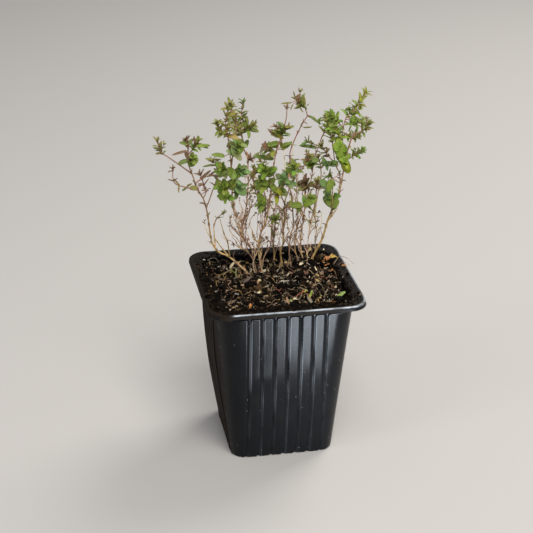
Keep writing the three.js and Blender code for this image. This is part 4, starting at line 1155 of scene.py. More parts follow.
stems = {
    "stem_left": {
        "foot": 0.9, "tip": 0.45, "wisps": 4, "bark": ["tan", "golden", "brown", "brown"],
        "route": [[-13, 18, 95], [-23, 20, 106], [-29, 21, 109], [-32, 21, 113], [-34, 20, 120],
                  [-35, 19, 127], [-37, 17, 139], [-39, 15, 146], [-42, 13, 152], [-46, 11, 163],
                  [-48, 10, 170], [-48, 9, 177]],
        "twigs": [[[-23, 20, 106], [-26, 24, 109], [-29, 27, 113], [-31, 30, 116]],
                  [[-23, 20, 106], [-25, 16, 118], [-27, 15, 123], [-30, 12, 134]],
                  [[-31, 21, 111], [-31, 25, 115], [-31, 28, 123], [-29, 31, 126]]]},
    "stem_leaning": {
        "foot": 0.65, "tip": 0.45, "wisps": 30, "bark": ["grey", "brown", "golden", "brown"],
        "route": [[-9, 14, 95], [-10, 15, 103], [-9, 17, 109], [-15, 18, 118], [-17, 16, 130],
                  [-20, 15, 134], [-22, 14, 140], [-23, 12, 147], [-23, 10, 154], [-24, 8, 165],
                  [-25, 6, 175], [-26, 4, 184]],
        "twigs": [[[-17, 16, 130], [-13, 13, 136], [-13, 11, 142]]]},
    "stem_tall": {
        "foot": 0.6, "tip": 0.45, "wisps": 26, "bark": ["tan", "brown", "tan", "brown"],
        "route": [[-7, 21, 95], [-9, 22, 103], [-12, 24, 107], [-15, 25, 110], [-15, 28, 119],
                  [-13, 30, 125], [-11, 32, 133], [-10, 34, 141], [-9, 38, 158], [-11, 39, 165],
                  [-12, 40, 172]],
        "twigs": [[[-15, 27, 115], [-20, 31, 121], [-21, 33, 127]]]},
    "stem_middle": {
        "foot": 0.85, "tip": 0.45, "wisps": 34, "bark": ["grey", "golden", "tan", "pink"],
        "route": [[-4, 16, 95], [-6, 15, 104], [-7, 14, 113], [-6, 12, 124], [-4, 11, 129],
                  [-3, 9, 136], [-3, 7, 143], [-2, 4, 151], [-1, 1, 160], [-2, -1, 167],
                  [-1, -6, 180], [1, -9, 188]],
        "twigs": [[[-7, 13, 117], [-11, 10, 122], [-12, 9, 128]]]},
    "stem_back": {
        "foot": 0.7, "tip": 0.4, "wisps": 12, "bark": ["olive", "brown", "brown", "red"],
        "route": [[-2, 28, 95], [0, 32, 100], [4, 35, 105], [6, 41, 115], [8, 44, 123], [13, 49, 134],
                  [17, 51, 139]],
        "twigs": [[[8, 44, 123], [4, 51, 130], [3, 55, 138]]]},
    "stem_short": {
        "foot": 0.8, "tip": 0.5, "wisps": 12, "bark": ["golden", "golden", "brown", "brown"],
        "route": [[6, 33, 95], [6, 33, 101], [5, 31, 108], [5, 29, 116], [5, 27, 122]]},
    "stem_front": {
        "foot": 0.9, "tip": 0.4, "wisps": 26, "bark": ["golden", "golden", "olive", "tan"],
        "route": [[9, 25, 95], [8, 24, 103], [8, 22, 109], [9, 20, 113], [8, 17, 122], [8, 14, 129],
                  [7, 9, 142], [8, 6, 150], [10, 4, 156], [12, 2, 161]],
        "twigs": [[[8, 12, 136], [3, 8, 141], [1, 7, 145]]]},
    "stem_dark": {
        "foot": 0.7, "tip": 0.4, "wisps": 12, "bark": ["brown", "brown", "red", "red"],
        "route": [[14, 22, 95], [13, 23, 105], [14, 24, 116], [16, 27, 121], [16, 33, 136],
                  [15, 40, 149], [17, 43, 155], [18, 46, 161], [25, 50, 174], [29, 52, 179]],
        "twigs": [[[16, 30, 128], [12, 34, 132], [10, 36, 138]]]},
    "stem_pale": {
        "foot": 0.7, "tip": 0.4, "wisps": 16, "bark": ["golden", "tan", "grey", "tan"],
        "route": [[20, 31, 95], [18, 30, 103], [18, 30, 110], [18, 26, 123], [18, 24, 130],
                  [17, 22, 138], [16, 19, 151], [17, 18, 157], [19, 16, 161]],
        "twigs": [[[18, 28, 117], [21, 24, 122], [22, 22, 128]]]},
    "stem_olive": {
        "foot": 0.7, "tip": 0.4, "wisps": 14, "bark": ["tan", "golden", "tan", "red"],
        "route": [[23, 30, 95], [22, 32, 102], [22, 34, 109], [24, 36, 121], [26, 38, 130],
                  [28, 40, 138], [30, 41, 147], [31, 42, 155], [34, 43, 163], [36, 44, 168]],
        "twigs": [[[24, 36, 121], [21, 41, 127], [20, 43, 134]]]},
    "stem_slim": {
        "foot": 0.5, "tip": 0.35, "wisps": 9, "bark": ["red", "tan", "tan", "red"],
        "route": [[24, 23, 95], [24, 24, 105], [25, 25, 114], [26, 26, 121], [28, 24, 135],
                  [28, 21, 143]]},
    "stem_thin": {
        "foot": 0.5, "tip": 0.35, "wisps": 7, "bark": ["grey", "grey", "tan", "brown"],
        "route": [[31, 34, 95], [32, 37, 104], [33, 39, 109], [33, 45, 120], [35, 48, 127],
                  [38, 52, 142]],
        "twigs": [[[33, 45, 120], [29, 49, 125], [28, 52, 132]]]},
    "stem_right": {
        "foot": 1.1, "tip": 0.5, "bark": ["golden", "golden", "tan", "pink"],
        "route": [[27, 27, 95], [33, 25, 111], [36, 24, 123], [38, 23, 129], [39, 22, 133],
                  [41, 21, 139], [43, 19, 152], [44, 17, 164], [45, 15, 171], [46, 12, 178],
                  [48, 9, 182]],
        "twigs": [[[36, 24, 123], [40, 27, 126], [43, 29, 129]],
                  [[38, 23, 130], [36, 14, 137], [35, 10, 146], [35, 8, 153]]]},
    "branch_right_back": {
        "foot": 0.6, "tip": 0.4, "bark": ["tan", "tan", "red", "red"],
        "route": [[40.6, 23.4, 135], [43, 27, 140], [44, 30, 149], [42, 34, 155], [41, 35, 163]]},
    "branch_right_top": {
        "foot": 0.5, "tip": 0.4, "bark": ["tan", "pink", "pink", "pink"],
        "route": [[43.6, 19.8, 158], [44, 22, 164], [44, 26, 172], [45, 29, 178], [47, 31, 184]]},
}

# route, where the leaves begin, pairs, longest leaf, its width as a share, turn, tone low and at the tip
shoots = {
    "shoot_far_left": ([[-46, 11, 163], [-53, 7, 170], [-60, 2, 177], [-64, 0, 181], [-66, -1, 188]],
        0.72, 3, 5.2, 0.3, 0.3, "dark", "olive"),
    "shoot_low_left": ([[-42, 13, 152], [-51, 7, 157], [-57, 2, 162], [-58, 0, 171]],
        0.3, 2, 5, 0.25, 0.9, "olive", "brown"),
    "shoot_left_top": ([[-48, 9, 177], [-48, 8, 180], [-49, 8, 184]],
        0.4, 2, 4.5, 0.5, 0.2, "dark", "brown"),
    "shoot_left_fork": ([[-48, 9, 175], [-45, 10, 178], [-42, 10, 183]],
        0.35, 3, 4.2, 0.45, 0.8, "dark", "green"),
    "shoot_left_arch": ([[-37, 17, 139], [-33, 22, 146], [-28, 27, 157], [-29, 28, 161], [-32, 29, 163]],
        0.45, 3, 6, 0.3, 0.5, "brown", "olive"),
    "shoot_left_dark": ([[-39, 15, 146], [-37, 17, 149], [-38, 18, 153], [-40, 19, 159]],
        0.35, 2, 5.5, 0.25, 0.1, "brown", "brown"),
    "shoot_broad_a": ([[-25, 6, 175], [-23, 4, 178], [-21, 3, 181]],
        0.35, 2, 6.6, 0.55, 0.2, "pale", "green"),
    "shoot_broad_b": ([[-24, 8, 165], [-27, 6, 165], [-30, 5, 167]],
        0.35, 2, 6.3, 0.6, 1.1, "dark", "green"),
    "shoot_broad_c": ([[-24, 8, 164], [-22, 6, 165], [-19, 4, 166]],
        0.4, 2, 6.3, 0.55, 0.4, "green", "blue"),
    "shoot_broad_d": ([[-23, 10, 153], [-27, 7, 155], [-30, 5, 157]],
        0.35, 2, 6.6, 0.6, 0.9, "green", "bright"),
    "shoot_broad_e": ([[-23, 12, 149], [-21, 9, 152], [-19, 7, 155]],
        0.4, 2, 5.8, 0.6, 0.1, "green", "blue"),
    "shoot_tall_left": ([[-26, 4, 184], [-28, 2, 192], [-28, 0, 199], [-26, -2, 207]],
        0.1, 4, 5.8, 0.36, 0.6, "olive", "olive"),
    "shoot_tall_side": ([[-27, 3, 188], [-31, 1, 191], [-33, 0, 196]],
        0.35, 3, 4.5, 0.4, 0.2, "green", "olive"),
    "shoot_tall_right": ([[-12, 40, 172], [-13, 41, 179], [-12, 43, 185], [-11, 44, 192]],
        0.12, 4, 5.8, 0.34, 0.85, "olive", "dark"),
    "shoot_tall_fork": ([[-13, 41, 176], [-10, 39, 178], [-7, 37, 180]],
        0.4, 2, 6.5, 0.4, 0.4, "dark", "olive"),
    "shoot_middle_a": ([[-2, -1, 166], [-5, -3, 167], [-8, -4, 169]],
        0.35, 2, 6, 0.55, 0.3, "green", "bright"),
    "shoot_middle_b": ([[-2, 3, 154], [-5, 1, 157], [-8, 0, 160]], 0.35, 2, 6.5, 0.5, 0.9, "green", "dark"),
    "shoot_middle_c": ([[-2, 4, 150], [1, 2, 151], [4, 1, 153]], 0.4, 2, 6, 0.45, 0.2, "yellow", "green"),
    "shoot_middle_d": ([[-3, 8, 140], [-6, 6, 143], [-8, 4, 146]],
        0.35, 2, 4.6, 0.55, 0.6, "bright", "green"),
    "shoot_middle_e": ([[-1, -6, 179], [-4, -7, 181], [-7, -8, 183]],
        0.35, 2, 5.5, 0.45, 0.2, "green", "brown"),
    "shoot_pink": ([[1, -9, 188], [2, -11, 195], [3, -12, 201], [3, -13, 206]],
        0.1, 4, 5.5, 0.35, 0.8, "green", "brown"),
    "shoot_dark_tip": ([[29, 52, 179], [27, 52, 185], [24, 51, 189], [24, 51, 194]],
        0.3, 3, 6, 0.28, 0.3, "olive", "olive"),
    "shoot_front_low": ([[10, 4, 156], [7, 3, 158], [4, 1, 160]], 0.35, 2, 6.5, 0.5, 0.1, "blue", "blue"),
    "shoot_front_top": ([[12, 2, 161], [11, 1, 164], [10, 0, 168]], 0.35, 2, 6, 0.5, 0.9, "green", "green"),
    "shoot_olive_low": ([[30, 41, 148], [29, 40, 151], [28, 39, 155]],
        0.35, 2, 6, 0.5, 0.4, "green", "green"),
    "shoot_olive_top": ([[36, 44, 168], [39, 46, 173], [41, 48, 181]],
        0.2, 4, 5.2, 0.4, 0.7, "olive", "green"),
    "shoot_right_broad": ([[41, 21, 139], [38, 19, 140], [35, 18, 142]],
        0.4, 1, 6.8, 0.6, 0.2, "green", "blue"),
    "shoot_right_tip": ([[48, 9, 182], [51, 7, 184], [54, 5, 189]], 0.3, 3, 5, 0.35, 0.5, "green", "olive"),
    "shoot_right_low": ([[44, 17, 164], [46, 15, 165], [49, 13, 168], [52, 11, 171]],
        0.35, 3, 4.6, 0.4, 0.1, "green", "green"),
    "shoot_right_bright": ([[44, 23, 165], [42, 20, 168], [40, 18, 171]],
        0.45, 1, 7, 0.6, 0.6, "bright", "bright"),
    "shoot_right_back": ([[41, 35, 163], [40, 37, 170], [38, 39, 176]],
        0.3, 3, 5.5, 0.4, 0.3, "olive", "green"),
    "shoot_right_inner": ([[44, 26, 172], [41, 24, 176], [38, 23, 181]],
        0.2, 3, 6, 0.34, 0.9, "bright", "bright"),
    "shoot_right_top": ([[47, 31, 184], [51, 33, 187], [55, 35, 191], [60, 37, 196]],
        0.05, 5, 6.5, 0.33, 0.5, "green", "yellow"),
    "shoot_short_tuft": ([[5, 27, 122], [5, 26, 124], [5, 25, 127]],
        0.3, 2, 4.5, 0.4, 0.4, "green", "green"),
    "shoot_back": ([[17, 51, 139], [19, 53, 144], [21, 55, 150]], 0.25, 3, 5.5, 0.45, 0.6, "green", "dark"),
    "shoot_thin": ([[38, 52, 142], [38, 54, 146], [37, 56, 151]], 0.3, 2, 5.5, 0.4, 0.2, "dark", "olive"),
}

# shoots that are bare past this share of their length, apart from the tip
leafyUntil = {"shoot_pink": 0.38, "shoot_dark_tip": 0.6}

# smaller shoots, each on the stem that carries it, in the same order of values
sideShoots = {
    "stem_left": [
        ([[-48, 10, 170], [-46, 7, 174]], 0.5, 1, 5, 0.6, 0.2, "dark", "green"),
        ([[-31, 28, 123], [-29, 31, 126], [-25, 34, 128]], 0.5, 1, 5, 0.25, 0.4, "olive", "olive")],
    "stem_leaning": [
        ([[-23, 12, 147], [-27, 8, 149]], 0.6, 1, 7, 0.55, 0.3, "bright", "bright"),
        ([[-24, 8, 165], [-22, 12, 176], [-20, 14, 186], [-20, 15, 195]],
         0.3, 3, 5.4, 0.36, 0.3, "olive", "olive")],
    "stem_middle": [
        ([[-5, 14, 140], [-9, 17, 149], [-9, 20, 161]], 0.3, 3, 5, 0.33, 0.3, "olive", "olive"),
        ([[-3, 9, 150], [-5, 12, 163], [-8, 12, 171]], 0.35, 3, 5, 0.33, 0.9, "olive", "green")],
    "stem_tall": [
        ([[-12, 40, 172], [-16, 40, 179], [-18, 40, 186], [-19, 41, 191]],
         0.1, 4, 5.8, 0.3, 0.6, "dark", "olive"),
        ([[-9, 38, 158], [-8, 37, 160]], 0.4, 2, 5, 0.3, 0.2, "brown", "brown"),
        ([[-10, 35, 145], [-7, 35, 150], [-5, 34, 153]], 0.5, 2, 6, 0.35, 0.8, "olive", "olive")],
    "stem_dark": [
        ([[29, 52, 179], [32, 53, 177], [36, 54, 175]], 0.6, 1, 5.5, 0.3, 0.5, "green", "green"),
        ([[15, 40, 149], [20, 42, 151]], 0.4, 2, 5.5, 0.4, 0.3, "green", "green")],
    "stem_pale": [
        ([[18, 24, 131], [14, 21, 136]], 0.6, 1, 6, 0.4, 0.3, "bright", "yellow"),
        ([[19, 16, 161], [21, 15, 165], [22, 14, 168]], 0.4, 3, 4.4, 0.3, 0.4, "brown", "olive"),
        ([[18, 24, 130], [24, 22, 138]], 0.6, 1, 7.5, 0.4, 0.6, "green", "green")],
    "stem_olive": [
        ([[34, 43, 163], [27, 41, 167]], 0.5, 1, 6.5, 0.25, 0.2, "dark", "dark"),
        ([[28, 40, 138], [25, 38, 142]], 0.4, 2, 7, 0.4, 0.7, "olive", "brown")],
    "stem_slim": [([[28, 21, 143], [28, 19, 151]], 0.3, 2, 5, 0.35, 0.4, "brown", "olive")],
    "stem_right": [
        ([[43, 18, 158], [43, 15, 163]], 0.7, 1, 6.5, 0.6, 0.3, "yellow", "bright"),
        ([[42, 20, 148], [37, 26, 150]], 0.7, 1, 7, 0.4, 0.5, "green", "green")],
    "branch_right_back": [
        ([[43, 32, 152], [42, 34, 155], [37, 32, 156]], 0.6, 1, 6.5, 0.45, 0.5, "blue", "blue"),
        ([[41, 35, 156], [37, 36, 161], [34, 36, 166]], 0.3, 2, 5, 0.4, 0.3, "brown", "olive")],
    "branch_right_top": [
        ([[45, 29, 178], [42, 29, 182], [38, 30, 186]], 0.4, 3, 6, 0.4, 0.4, "green", "bright"),
        ([[46, 30, 182], [50, 27, 181], [55, 25, 183]], 0.3, 3, 5.5, 0.33, 0.8, "green", "green"),
        ([[45, 28, 176], [48, 25, 174], [53, 23, 176]], 0.35, 3, 5, 0.35, 0.2, "bright", "olive")],
}

# single leaves: base, tip, width as a share of the length, tone
singleLeaves = {
    "stem_left": [
        ((-48, 9, 169), (-43, 8, 173), 0.75, "green"), ((-48, 8, 172), (-54, 7, 171), 0.5, "dark"),
        ((-49, 6, 182), (-53, 5, 184), 0.5, "dark"), ((-49, 7, 178), (-57, 6, 177), 0.2, "brown"),
        ((-43, 11, 154), (-47, 10, 155), 0.7, "olive"), ((-48, 8, 173), (-50, 7, 178), 0.4, "brown"),
        ((-36, 14, 151), (-40, 13, 152), 0.3, "brown"), ((-39, 14, 155), (-42, 13, 156), 0.35, "brown"),
        ((-40, 15, 158), (-35, 14, 163), 0.22, "brown"), ((-37, 15, 159), (-31, 14, 161), 0.2, "brown")],
    "shoot_left_fork": [
        ((-43, 8, 180), (-36, 7, 181), 0.3, "green"), ((-43, 8, 180), (-41, 7, 178), 0.45, "green"),
        ((-44, 8, 182), (-42, 7, 186), 0.4, "olive"), ((-44, 8, 182), (-45, 7, 186), 0.35, "brown"),
        ((-40, 8, 180), (-37, 7, 179), 0.4, "dark")],
    "shoot_left_arch": [
        ((-29, 27, 161), (-37, 26, 162), 0.2, "dark"), ((-29, 27, 164), (-35, 26, 166), 0.25, "olive"),
        ((-30, 24, 159), (-35, 23, 156), 0.2, "brown")],
    "shoot_left_dark": [((-39, 18, 158), (-35, 17, 162), 0.2, "brown")],
    "shoot_dark_tip": [
        ((19, 51, 188), (13, 50, 188), 0.17, "olive"), ((23, 51, 189), (29, 50, 184), 0.17, "dark"),
        ((21, 51, 190), (24, 50, 193), 0.5, "brown"), ((20, 51, 187), (18, 50, 184), 0.22, "olive"),
        ((23, 51, 186), (26, 50, 182), 0.18, "olive"), ((21, 51, 191), (20, 50, 195), 0.2, "olive")],
    "stem_dark": [
        ((30, 52, 179), (37, 51, 174), 0.2, "dark"), ((26, 50, 176), (24, 49, 173), 0.3, "brown"),
        ((26, 49, 173), (31, 48, 173), 0.2, "olive")],
    "shoot_pink": [
        ((-1, -9, 191), (-6, -10, 194), 0.3, "brown"), ((-1, -9, 189), (-5, -10, 191), 0.3, "olive"),
        ((0, -7, 185), (-7, -8, 184), 0.4, "green"), ((2, -7, 183), (6, -8, 185), 0.45, "green"),
        ((-2, -9, 191), (2, -10, 188), 0.4, "yellow")],
    "shoot_broad_a": [
        ((-23, 3, 175), (-24, 2, 181), 0.75, "pale"), ((-22, 3, 176), (-18, 2, 180), 0.6, "green"),
        ((-23, 3, 175), (-27, 2, 179), 0.6, "pale"), ((-28, 6, 174), (-35, 5, 176), 0.4, "green")],
    "shoot_broad_b": [
        ((-27, 5, 167), (-32, 4, 163), 0.75, "dark"), ((-27, 6, 167), (-31, 5, 168), 0.6, "dark")],
    "shoot_broad_c": [
        ((-22, 6, 161), (-26, 5, 167), 0.75, "green"), ((-23, 5, 161), (-18, 4, 167), 0.6, "green"),
        ((-22, 4, 160), (-19, 3, 158), 0.7, "blue"), ((-23, 5, 160), (-25, 4, 158), 0.6, "green")],
    "shoot_broad_d": [
        ((-26, 7, 158), (-32, 5, 156), 0.7, "bright"), ((-26, 7, 153), (-31, 6, 148), 0.7, "bright"),
        ((-26, 7, 157), (-29, 6, 159), 0.6, "bright")],
    "shoot_broad_e": [((-22, 6, 156), (-16, 5, 151), 0.75, "blue")],
    "shoot_middle_a": [
        ((-7, -3, 165), (-10, -4, 171), 0.65, "bright"), ((-6, -2, 164), (-1, -3, 169), 0.7, "dark")],
    "shoot_middle_b": [
        ((-4, 0, 158), (-10, -1, 161), 0.6, "green"), ((-3, -1, 159), (0, -2, 153), 0.5, "green")],
    "shoot_middle_c": [((-1, 0, 156), (4, -1, 151), 0.45, "yellow")],
    "shoot_middle_d": [
        ((-6, 4, 145), (-9, 3, 151), 0.7, "bright"), ((-6, 4, 144), (-9, 3, 140), 0.55, "green")],
    "shoot_front_low": [((5, 1, 158), (12, 0, 157), 0.5, "blue"), ((6, 2, 159), (4, 1, 163), 0.6, "blue")],
    "shoot_front_top": [((8, 1, 163), (11, 0, 167), 0.4, "dark"), ((8, 2, 163), (6, 1, 167), 0.45, "green")],
    "stem_middle": [
        ((0, -5, 182), (-8, -6, 184), 0.35, "green"), ((-1, -4, 178), (-7, -5, 176), 0.5, "olive"),
        ((-1, -7, 188), (-6, -7, 193), 0.25, "brown"), ((-2, -3, 174), (-13, -4, 177), 0.25, "dark"),
        ((3, -6, 180), (1, -7, 185), 0.4, "green"), ((3, -6, 181), (7, -7, 185), 0.4, "green")],
    "stem_tall": [
        ((-12, 38, 167), (-13, 37, 172), 0.6, "dark"), ((-12, 38, 167), (-9, 37, 171), 0.6, "dark")],
    "shoot_tall_right": [
        ((-13, 40, 176), (-5, 39, 178), 0.35, "olive"), ((-12, 40, 175), (-5, 39, 181), 0.35, "olive")],
    "shoot_right_bright": [((43, 17, 165), (38, 15, 174), 0.85, "bright")],
    "stem_right": [
        ((43, 16, 164), (45, 14, 156), 0.65, "yellow"), ((43, 16, 164), (40, 15, 162), 0.6, "yellow"),
        ((41, 20, 134), (33, 19, 140), 0.7, "green"), ((40, 20, 134), (37, 19, 132), 0.6, "green"),
        ((34, 9, 155), (32, 8, 148), 0.6, "green"), ((34, 9, 155), (36, 8, 151), 0.5, "green")],
    "branch_right_back": [((44, 34, 154), (35, 33, 156), 0.4, "blue")],
    "stem_pale": [
        ((20, 18, 160), (14, 17, 162), 0.22, "brown"), ((22, 14, 166), (27, 12, 166), 0.65, "dark"),
        ((19, 17, 137), (11, 16, 138), 0.5, "green"), ((18, 17, 137), (16, 16, 133), 0.5, "green")],
    "stem_olive": [
        ((28, 39, 140), (23, 38, 138), 0.5, "brown"), ((28, 39, 140), (33, 38, 141), 0.5, "olive"),
        ((33, 43, 162), (23, 42, 165), 0.22, "dark")],
    "stem_slim": [
        ((30, 20, 151), (35, 19, 145), 0.6, "blue"), ((28, 20, 140), (20, 19, 136), 0.6, "green"),
        ((28, 20, 140), (25, 19, 142), 0.6, "green")],
    "branch_right_top": [
        ((49, 28, 184), (54, 27, 182), 0.6, "green"), ((49, 28, 183), (54, 27, 184), 0.6, "green"),
        ((49, 28, 183), (53, 27, 180), 0.55, "green")],
}

growth = {
    # an axis's girth at foot and tip, a leaf's scale and how much it shrinks to the tip, pairs grown for
    # each one listed, how far leaves spread low and at the tip, and how far they turn to the light
    "axisFoot": 0.4, "axisTip": 0.24, "leafScale": 1.2, "leafShrink": 0.35, "morePairs": 1.8,
    "spreadLow": 1.25, "spreadTip": 0.6, "sunward": 0.95, "light": (-0.1, -0.75, 0.75),
    # shares of the pairs that have small leaves in their axils, and side twigs
    "tuftShare": 0.6, "sideShare": 0.55,
    # all stems' girth, a stem's nodes: how far apart, how long, how much thicker and darker; girth of
    # its side twigs and bare twigs at foot and tip, and how many roots leave its foot
    "girth": 0.74, "nodeGap": 8, "nodeLength": 0.75, "nodeSwell": 0.55, "nodeDark": 0.6,
    "twigFoot": 0.45, "twigTip": 0.2, "wispFoot": 0.24, "wispTip": 0.12, "flares": 4,
    # how far along a shoot its leaves go, and along a stem its buds begin
    "leafyTo": 0.93, "budsFrom": 0.5,
}


def readAt(rows, t, places):
    # rows that stand at t, read straight between them at other places
    return np.stack([np.interp(places, t, rows[:, i]) for i in range(3)], -1)


def pointsAt(path, t, places):
    # points of a path at shares of its length, and its direction there
    return readAt(path, t, places), unit(readAt(np.gradient(path, axis=0), t, places))


def outward(along, heading, rise):
    # square to along, on the side of the compass heading and a little upwards
    return squareTo(along, np.array([np.cos(heading), np.sin(heading), rise]))


def leafPairs(path, bare, pairs, leaf, broad, turn, tones, rng, tuft=True, until=growth["leafyTo"]):
    # leaves in crossed pairs along an axis. A pair stands across it, leaning forward more towards the
    # tip, and every upper face is turned a little to the light. Small leaves sit in the axils of some
    # pairs, and short crossed pairs close the tip.
    run = lengthAlong(path)
    t = run / run[-1]
    places = np.linspace(bare, until, pairs) if pairs > 1 else np.array([mix(bare, 0.97, 0.5)])
    kind = np.zeros(pairs)
    if tuft:
        axils = places[rng.random(len(places)) < growth["tuftShare"]]
        places = np.concatenate([places, axils, axils])
        kind = np.concatenate([kind, np.ones(2 * len(axils))])
    places = np.concatenate([places, [0.98, 1.0, 1.0]])
    kind = np.concatenate([kind, [2, 2, 3]])
    # a full leaf, one in an axil, and the two sizes at the tip
    size = rowsOf([1, 0.42, 0.72, 0.45])[kind.astype(int)]
    turns = turn + np.arange(len(places)) * np.pi / 2 + (kind == 1) * rng.uniform(-0.7, 0.7, len(places))

    count = 2 * len(places)
    at, kinds = np.repeat(places, 2), np.repeat(kind, 2)
    base, along = pointsAt(path, t, at)
    across = squareTo(along, np.tile([[0.2, -1.0, 0.1]], (count, 1)))
    beside = np.cross(along, across)
    angle = np.repeat(turns, 2) + rng.normal(0, 0.28, count)
    out = across * np.cos(angle)[:, None] + beside * np.sin(angle)[:, None]
    out *= np.tile([1, -1], len(places))[:, None]
    spread = mix(growth["spreadLow"], growth["spreadTip"], at) * np.where(kinds == 1, 0.6, 1)
    spread = spread + rng.normal(0, 0.17, count)
    ahead = unit(out * np.sin(spread)[:, None] + along * np.cos(spread)[:, None])
    upper = along * np.sin(spread)[:, None] - out * np.cos(spread)[:, None]
    upper = squareTo(ahead, upper + growth["sunward"] * unit(rowsOf([growth["light"]]))
                     + rng.normal(0, 0.28, (count, 3)))
    length = leaf * (1 - growth["leafShrink"] * at) * np.repeat(size, 2) * rng.uniform(0.8, 1.2, count)
    width = length * broad * rng.uniform(0.85, 1.2, count)
    low, high = (greens[tone] for tone in tones)
    tint = mix(low, high, at[:, None] ** 1.5) * rng.uniform(0.7, 1.3, (count, 1))
    tint = np.maximum(tint * (1 + rng.normal(0, 0.1, (count, 3))), 0.01)
    curl, fold = rng.normal(0.6, 0.4, count), rng.uniform(0.15, 0.6, count)
    widest = 0.5 if broad > 0.5 else 0.43
    return leafBlades(base, ahead, upper, length, width, curl, fold, tint, widest, ripple=0.05, look=1)


def shootSkins(shoot, rng, until=growth["leafyTo"]):
    # a thin axis with its leaves; longer shoots branch into short side twigs with smaller leaves
    route, bare, pairs, leaf, broad, turn, *tones = shoot
    path = smoothRoute(route, 6 * len(route))
    run = lengthAlong(path)
    t = run / run[-1]
    leaf = leaf * growth["leafScale"]
    axisTint = mix(barks["brown"], barks["shoot"], t[:, None])
    skins = [tube(path, mix(growth["axisFoot"], growth["axisTip"], t), 6, axisTint)]
    more = int(round(pairs * growth["morePairs"]))
    skins.append(leafPairs(path, bare, more, leaf, broad, turn, tones, rng, until=until))
    if pairs < 3:
        return skins
    places = np.linspace(bare, until - 0.08, more)
    places = places[rng.random(more) < growth["sideShare"]]
    for place in places:
        at, along = pointsAt(path, t, place)
        out = outward(along, rng.uniform(0, 2 * np.pi), 0.2)
        reach = rng.uniform(2.5, 5.5) * (1 - 0.4 * place)
        s = np.linspace(0, 1, 6)[:, None]
        side = at + reach * (s * (0.8 * out + 0.5 * along) + s ** 2 * np.array([0, 0, 0.35]))
        skins.append(tube(side, mix(0.24, 0.16, s[:, 0]), 5, barks["shoot"]))
        small = leaf * rng.uniform(0.55, 0.8)
        skins.append(leafPairs(side, 0.45, 2, small, broad, rng.uniform(0, 3), tones, rng, tuft=False))
    return skins


def singleSkins(name, path, rng):
    # each single leaf from its base to its tip, its stalk from the path's nearest point
    leaves = singleLeaves.get(name, [])
    if not leaves:
        return []
    base, tip = rowsOf([leaf[0] for leaf in leaves]), rowsOf([leaf[1] for leaf in leaves])
    length = np.linalg.norm(tip - base, axis=1)
    along = unit(tip - base)
    upper = squareTo(along, rng.normal(0, 0.22, (len(leaves), 3)) + [-0.15, -0.8, 0.6])
    width = length * rowsOf([leaf[2] for leaf in leaves])
    tint = rowsOf([greens[leaf[3]] for leaf in leaves]) * rng.uniform(0.85, 1.15, (len(leaves), 1))
    curl, fold = rng.uniform(0.15, 0.6, len(leaves)), rng.uniform(0.15, 0.45, len(leaves))
    skins = [leafBlades(base, along, upper, length * 1.05, width, curl, fold, tint, ripple=0.05, look=1)]
    for foot, way in zip(base, along):
        near = path[np.argmin(np.linalg.norm(path - foot, axis=1))]
        stalk = smoothRoute([near, mix(near, foot, 0.5) + [0, 0, 0.3], foot, foot + 0.4 * way], 10)
        skins.append(tube(stalk, np.linspace(0.26, 0.16, 10), 5, barks["shoot"]))
    return skins


def flareSkins(foot, bark, rng):
    # thin roots that leave a stem's foot and dive into the soil
    skins = []
    for heading in rng.uniform(0, 2 * np.pi, growth["flares"]):
        s = np.linspace(0, 1, 8)[:, None]
        out = rng.uniform(2, 5) * np.array([np.cos(heading), np.sin(heading), 0])
        root = np.array(foot) + [0, 0, 0.6] + s * out - [0, 0, 3.0] * s ** 1.2
        skins.append(tube(root, mix(0.26, 0.13, s[:, 0]), 5, bark * rng.uniform(0.35, 0.85)))
    return skins


def wispSkins(path, t, count, rng):
    # thin bare twigs from the lower part of a stem: they leave it at a slant, bend up and waver, with
    # three knots each, and half of them end in dead leaves
    skins = []
    for place in rng.uniform(0.1, 0.62, count):
        at, along = pointsAt(path, t, place)
        if at[2] < soil["level"] + 3:
            continue
        heading, phase = rng.uniform(0, 2 * np.pi, 2)
        out = outward(along, heading, 0.1)
        beside = np.cross(along, out)
        reach = rng.uniform(5, 19)
        s = np.linspace(0, 1, 18)[:, None]
        bend = rng.normal(0, 0.22, 3)
        twig = at + reach * (s * (0.3 * out + 0.78 * along) + s ** 2 * (np.array([0, 0, 0.3]) + bend))
        waver = np.sin(8 * s + phase) * beside + 0.5 * np.sin(13 * s + heading) * out
        twig += s * rng.uniform(0.4, 1.5) * waver
        knots = np.exp(-((s - rng.uniform(0.3, 0.95, (1, 3))) / 0.03) ** 2).sum(1)
        tone = twigTones[rng.choice(len(twigTones), p=twigShares)] * rng.uniform(0.9, 1.3)
        girth = mix(growth["wispFoot"], growth["wispTip"], s[:, 0]) * (1 + 1.2 * knots)
        skins.append(tube(twig, girth, 5, tone * (1 - 0.4 * knots[:, None])))
        if rng.random() < 0.5:
            leaf = rng.uniform(2, 3.4)
            skins.append(leafPairs(twig, 0.8, 1, leaf, 0.35, heading, ("dead", "brown"), rng, tuft=False))
    return skins


def twigSkins(route, bark, rng):
    # a listed side twig with two knobs on it
    path = smoothRoute(route, 24)
    t = np.linspace(0, 1, len(path))
    knob = np.exp(-((t[:, None] - np.array([[0.35, 0.7]])) / 0.035) ** 2).sum(1)
    shade = bark * rng.uniform(0.7, 1.0)
    girth = mix(growth["twigFoot"], growth["twigTip"], t) * (1 + 0.6 * knob)
    return tube(path, girth, 6, shade * (1 - 0.5 * knob[:, None]))


